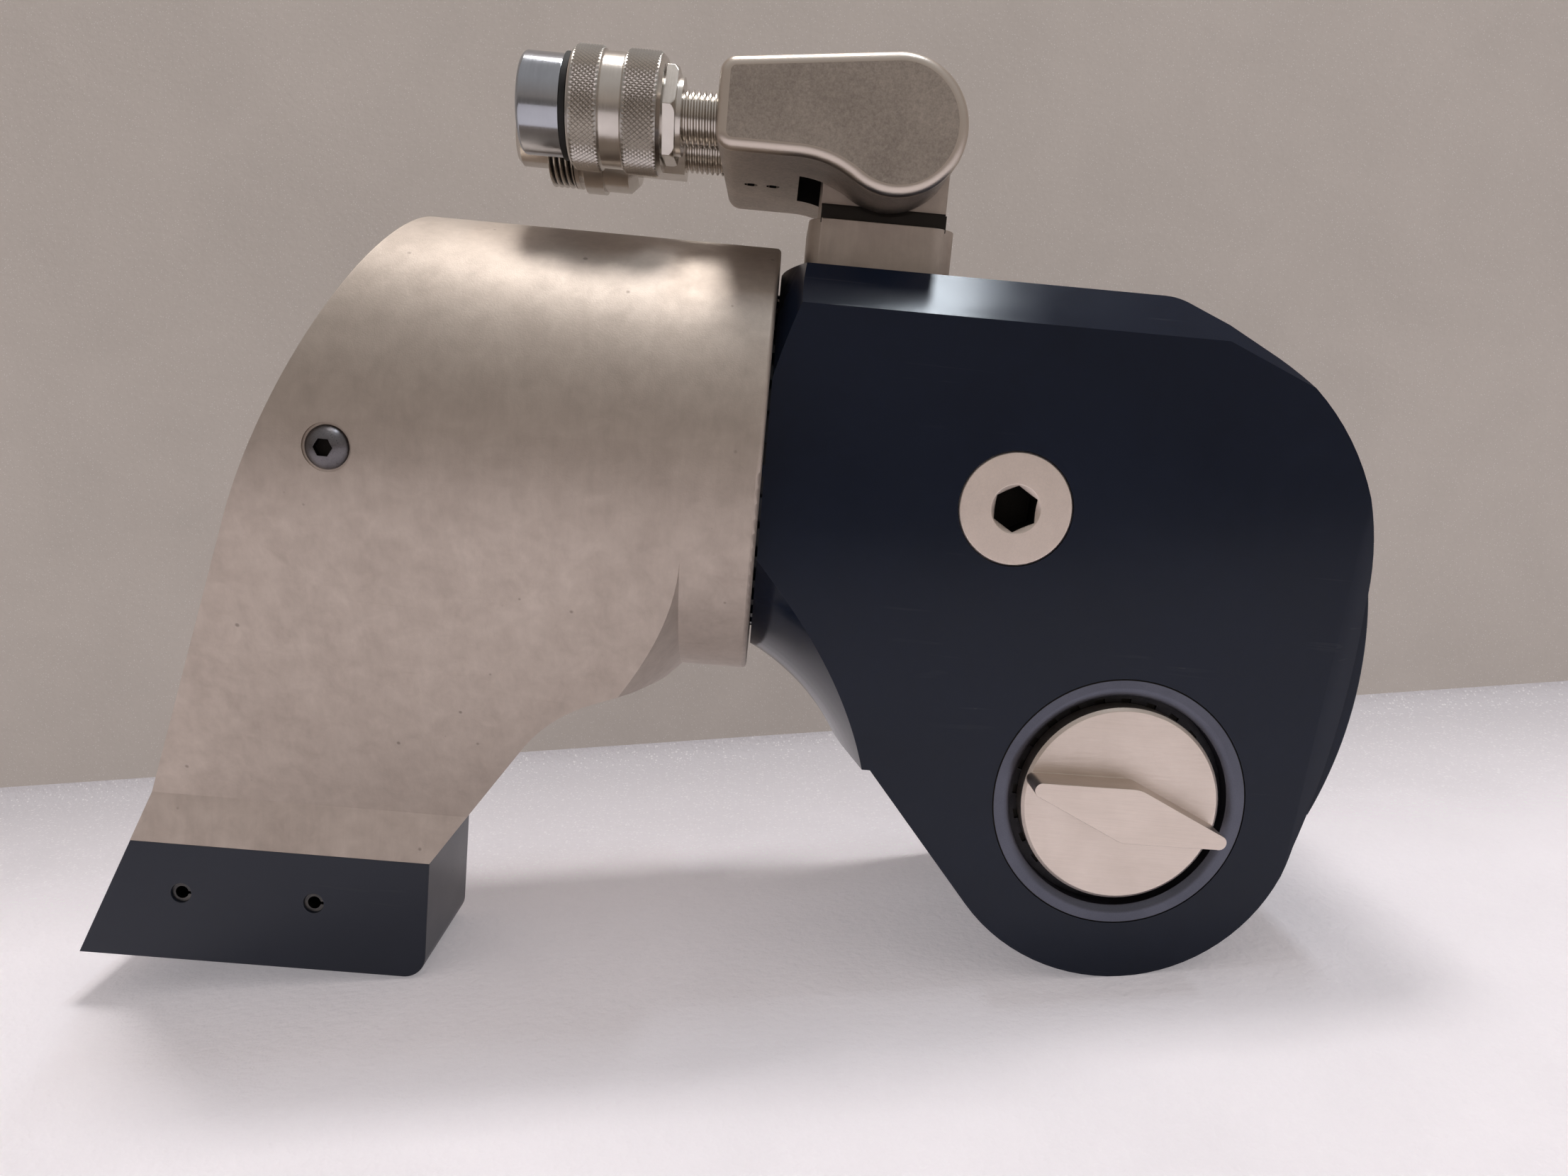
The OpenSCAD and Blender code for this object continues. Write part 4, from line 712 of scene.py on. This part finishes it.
def rounded_head():
    """Swivel head with the broad rounding of its outer sides, and painted shade on the faces of its slot."""
    bm = cad_copy("swivel_head")
    ease(bm, sharp_edges(bm, lambda p: abs(abs(p.y) - HEAD_HIGH.y) < 0.05 * MM), 2.6 * MM, 5)
    shade_faces(bm, lambda p, n: abs(p.y) < FORK_HALF and (abs(n.y) > 0.9 or n.x > 0.7))
    finished(bm, "rounded_head", BODY_OF["swivel_head"], SLOT_OF["swivel_head"], None, ["swivel_head"])


def bush(node, front):
    """Drive bush with a broad bevel round its bore, on the outer face, and painted shade on its outside, in
    the gap round it.
    """
    bm = cad_copy(node)
    face_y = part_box(node)[0 if front else 1].y
    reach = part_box(node)[1].x

    def on_mouth(point):
        return abs(point.y - face_y) < 0.05 * MM and Vector((point.x, 0, point.z)).length < reach - 1.5 * MM

    ease(bm, sharp_edges(bm, on_mouth), 1.1 * MM, 2)
    ease(bm, sharp_edges(bm, lambda p: abs(p.y - face_y) < 0.05 * MM), 0.35 * MM, 2)
    shade_faces(bm, lambda p, n: Vector((p.x, 0, p.z)).length > reach - 0.4 * MM)
    finished(bm, "bevelled_" + node, BODY_OF[node], SLOT_OF[node], BUSH_STEEL, [node])


def under_wing(point, normal):
    """True on the faces of the knob's wing that look down, which get painted shade."""
    away = Vector((point.x, 0, point.z)).length
    return normal.z < -0.5 and point.y < WING_FOOT and away < WING_REACH


BLOCK_TOP = HOUSING_HIGH.z + 13.5 * MM
# Height of the painted shadow on the step under the head.
SHADE_STEP = 4.2 * MM


def on_block_top(point):
    """True on the upper edge of the swivel base's block."""
    return abs(point.z - BLOCK_TOP) < 0.3 * MM and abs(point.y) > 12 * MM


def beside_tongue(point, _):
    """True low on the step and the tongue's flanks, which get painted shade for the shadow under the head."""
    return BLOCK_TOP + 0.3 * MM < point.z < BLOCK_TOP + SHADE_STEP and 16 * MM < abs(point.y) < 19.3 * MM


def stepped_base():
    """Swivel base with an eased block and painted shade on the step under the head."""
    bm = cad_copy("swivel_base")
    ease(bm, sharp_edges(bm, on_block_top), 0.4 * MM)
    # The cut splits the step's faces so that only their lower part gets the painted shade.
    bmesh.ops.bisect_plane(bm, geom=[*bm.verts, *bm.edges, *bm.faces], dist=0.0001 * MM,
                           plane_co=(0, 0, BLOCK_TOP + SHADE_STEP), plane_no=(0, 0, 1))
    shade_faces(bm, beside_tongue, 0.97)
    finished(bm, "stepped_base", BODY_OF["swivel_base"], SLOT_OF["swivel_base"], None, ["swivel_base"])


knurled_collar()
socket_fitting()
nipple_fitting()
rounded_head()
stepped_base()
eased_node("housing", 0.5 * MM, outside_housing)
eased_node("rear_cover", 0.35 * MM, lambda p: abs(p.y) > SIDE_SKIN)
bush("front_bush", True)
bush("rear_bush", False)
# Painted shade in the hex pockets of the plug and the screw.
eased_node("access_plug", 0.35 * MM, lambda p: p.y < -SIDE_SKIN, material=PLUG_NICKEL,
           shade_where=pocket("access_plug", 5.9 * MM, 1.5 * MM))
eased_node("arm_screw", 0.2 * MM, material=SCREW_STEEL, shade_where=pocket("arm_screw", 2.5 * MM, 0.3 * MM))
# Painted shadow under the knob's wing.
eased_node("retainer_knob", 0.45 * MM, lambda p: p.y < KNOB_FRONT, material=KNOB_NICKEL, shade_where=under_wing)
eased_node("reaction_pad", 0.5 * MM)
# Painted shade on the drive's hub inside the housing.
eased_node("square_drive", 0.6 * MM, lambda p: p.y > DRIVE_SQUARE, shade_where=lambda p, n: p.y < DRIVE_HUB)
pressed_spring("socket_spring")
pressed_spring("nipple_spring")
pressed_spring("pawl_spring")
eased_node("end_cap", 0.4 * MM)
eased_node("pivot_cap", 0.4 * MM)
eased_node("socket_sleeve", 0.3 * MM)


# Lights, stage and camera

SHEET_COLOUR = (0.93, 0.885, 0.925)
WALL_COLOUR = (0.60, 0.545, 0.505)
SURROUND = (0.80, 0.77, 0.75)
FLOOR_TILT = radians(8.95)
CAMERA_AT = Vector((-96.0, -322.1, 89.2)) * MM
CAMERA_YAW = radians(1.304)
CAMERA_PITCH = radians(-8.548)
CAMERA_ROLL = radians(5.135)
PHOTO_WIDTH = 2212
FOCAL_PIXELS = 1600
SENSOR = 36.0


def sheet_material(name, colour, depth, glow, far_shade=None):
    """Pale foam sheet with faint painted glints, painted shade that darkens it by a share far back where one
    is given, and a glow that camera and glossy rays see.

    Its back is clear, so that it hides nothing from behind or below.
    """
    finish = Finish(name)
    cloud = finish.use(MOTTLE, Cloud_Scale=18.0, Grain_Scale=420.0)
    glints = finish.use(SPECKS, Scale=900.0, Share=0.6, Spot=0.5)["Mask"]
    tone = finish.mix(cloud["Cloud"], tuple(0.93 * c for c in colour), colour)
    tone = finish.mix(finish.math("MULTIPLY", cloud["Grain"], 0.1), tone, tuple(0.7 * c for c in colour))
    # Painted shade: the floor darkens towards the wall.
    if far_shade:
        split = finish.tree.nodes.new("ShaderNodeSeparateXYZ")
        finish.tree.links.new(finish.place, split.inputs["Vector"])
        back = stretch(finish.tree, split.outputs["Y"], 0.01, 0.165)
        tone = finish.mix(finish.math("MULTIPLY", back, 0.9), tone, tuple(far_shade * c for c in colour))
    # Painted glints: pale specks mixed into the colour.
    tone = finish.mix(finish.math("MULTIPLY", glints, 0.3), tone, (0.98, 0.96, 0.96))
    finish.bump(cloud["Grain"], depth)
    tree = finish.tree
    # Painted light: the sheet glows for camera and glossy rays, which lifts it and its reflections without
    # lamps.
    rays = tree.nodes.new("ShaderNodeLightPath").outputs
    seen = finish.math("MAXIMUM", rays["Is Camera Ray"], rays["Is Glossy Ray"])
    finish.set(Base_Color=tone, Roughness=0.8, Metallic=0.0, Specular_IOR_Level=0.2, Emission_Color=tone,
               Emission_Strength=finish.math("MULTIPLY", seen, glow))
    clear = tree.nodes.new("ShaderNodeBsdfTransparent")
    either = tree.nodes.new("ShaderNodeMixShader")
    behind = tree.nodes.new("ShaderNodeNewGeometry").outputs["Backfacing"]
    tree.links.new(behind, either.inputs["Fac"])
    tree.links.new(finish.shader.outputs["BSDF"], either.inputs[1])
    tree.links.new(clear.outputs["BSDF"], either.inputs[2])
    tree.links.new(either.outputs["Shader"], tree.nodes["Material Output"].inputs["Surface"])
    return finish.material


def add_sheet(name, route, material, width):
    """Sheet that follows a route of points in the Y-Z plane, facing up and to the front."""
    bm = bmesh.new()
    verts = [bm.verts.new(point - Vector((width / 2, 0, 0))) for point in route]
    edges = [bm.edges.new(pair) for pair in zip(verts, verts[1:])]
    made = bmesh.ops.extrude_edge_only(bm, edges=edges)
    moved = [item for item in made["geom"] if isinstance(item, bmesh.types.BMVert)]
    bmesh.ops.translate(bm, verts=moved, vec=(width, 0, 0))
    bm.normal_update()
    wrong = [f for f in bm.faces if f.normal.z - f.normal.y < 0]
    bmesh.ops.reverse_faces(bm, faces=wrong)
    foot = Vector((PAD_HIGH.x, 0, PAD_LOW.z))
    tilt = Matrix.Translation(foot) @ Matrix.Rotation(-FLOOR_TILT, 4, "Y")
    bmesh.ops.transform(bm, matrix=tilt, verts=bm.verts)
    mesh = bpy.data.meshes.new(name)
    bm.to_mesh(mesh)
    bm.free()
    mesh.polygons.foreach_set("use_smooth", [True] * len(mesh.polygons))
    mesh.materials.append(material)
    sheet = bpy.data.objects.new(name, mesh)
    bpy.context.scene.collection.objects.link(sheet)


def build_stage():
    """Pale floor that touches the pad and the nose, and a plain wall close behind."""
    reach = 3.0
    front = 0.9
    behind = 0.165
    bend = 0.012
    steps = 6
    floor = [Vector((0, -front, 0)), Vector((0, behind, 0))]
    for i in range(1, steps + 1):
        turn = pi / 2 * i / steps
        floor.append(Vector((0, behind + bend * sin(turn), bend * (1 - cos(turn)))))
    add_sheet("floor_sheet", floor, sheet_material("pale_floor", SHEET_COLOUR, 0.0003, 0.26, 0.55), 2 * reach)
    wall_at = behind + bend - 0.001
    wall = [Vector((0, wall_at, 0.004)), Vector((0, wall_at, reach))]
    add_sheet("wall_sheet", wall, sheet_material("plain_wall", WALL_COLOUR, 0.00004, 0.2), 2 * reach)


def add_lamp(name, place, target, size, power, colour=(1.0, 1.0, 1.0)):
    """Soft rectangular lamp that faces a point."""
    lamp = bpy.data.lights.new(name, "AREA")
    lamp.shape = "RECTANGLE"
    lamp.size, lamp.size_y = size
    lamp.energy = power
    lamp.color = colour
    holder = bpy.data.objects.new(name, lamp)
    bpy.context.scene.collection.objects.link(holder)
    holder.location = place
    holder.rotation_euler = (Vector(target) - Vector(place)).to_track_quat("-Z", "Y").to_euler()


def build_world():
    """Surround: dim below, warm round the horizon and whiter above. The camera sees a plain pale tone."""
    world = bpy.data.worlds.new("surround")
    world.use_nodes = True
    tree = world.node_tree
    back = tree.nodes["Background"]
    split = tree.nodes.new("ShaderNodeSeparateXYZ")
    tree.links.new(tree.nodes.new("ShaderNodeTexCoord").outputs["Generated"], split.inputs["Vector"])
    ramp = tree.nodes.new("ShaderNodeValToRGB")
    ramp.color_ramp.elements[0].position = 0.45
    ramp.color_ramp.elements[0].color = (0.2, 0.175, 0.16, 1.0)
    ramp.color_ramp.elements[1].position = 0.85
    ramp.color_ramp.elements[1].color = (0.45, 0.43, 0.42, 1.0)
    ramp.color_ramp.elements.new(0.52).color = (0.33, 0.285, 0.255, 1.0)
    tree.links.new(math_node(tree, "MULTIPLY_ADD", split.outputs["Z"], 0.5, 0.5), ramp.inputs["Fac"])
    seen = tree.nodes.new("ShaderNodeMix")
    seen.data_type = "RGBA"
    tree.links.new(tree.nodes.new("ShaderNodeLightPath").outputs["Is Camera Ray"], seen.inputs["Factor"])
    colours = [s for s in seen.inputs if s.type == "RGBA"]
    tree.links.new(ramp.outputs["Color"], colours[0])
    colours[1].default_value = (*SURROUND, 1.0)
    tree.links.new([s for s in seen.outputs if s.type == "RGBA"][0], back.inputs["Color"])
    back.inputs["Strength"].default_value = 1.0
    bpy.context.scene.world = world


def build_light():
    """Narrow cool strip and a warmer soft box overhead, and the surround."""
    build_world()
    add_lamp("overhead_strip", (0.075, 0.02, 1.15), (0.075, 0.02, 0.0), (0.07, 0.22), 1.9, (0.84, 0.92, 1.0))
    add_lamp("overhead_box", (-0.2, 0.14, 1.0), (-0.15, 0.0, 0.0), (0.24, 0.18), 5.0, (1.0, 0.97, 0.95))


def build_camera():
    """Camera at the photograph's place, angle and field of view."""
    lens = bpy.data.cameras.new("photo_camera")
    lens.sensor_fit = "HORIZONTAL"
    lens.sensor_width = SENSOR
    lens.lens = FOCAL_PIXELS / PHOTO_WIDTH * SENSOR
    lens.clip_start = 0.01
    camera = bpy.data.objects.new("photo_camera", lens)
    bpy.context.scene.collection.objects.link(camera)
    level = Matrix.Rotation(-CAMERA_YAW, 4, "Z") @ Matrix.Rotation(pi / 2 + CAMERA_PITCH, 4, "X")
    camera.matrix_world = Matrix.Translation(CAMERA_AT) @ level @ Matrix.Rotation(CAMERA_ROLL, 4, "Z")
    bpy.context.scene.camera = camera


def dress_nodes():
    """Gives every carried-over node its finish."""
    for name, node in NODES.items():
        node.data.materials.clear()
        # The ratchet gets the near-black steel of painted shade.
        node.data.materials.append(OILY_SHADED_STEEL if name == "ratchet" else MATERIAL[SLOT_OF[name]])


build_stage()
build_light()
build_camera()
dress_nodes()
bpy.context.scene.view_settings.view_transform = "Standard"
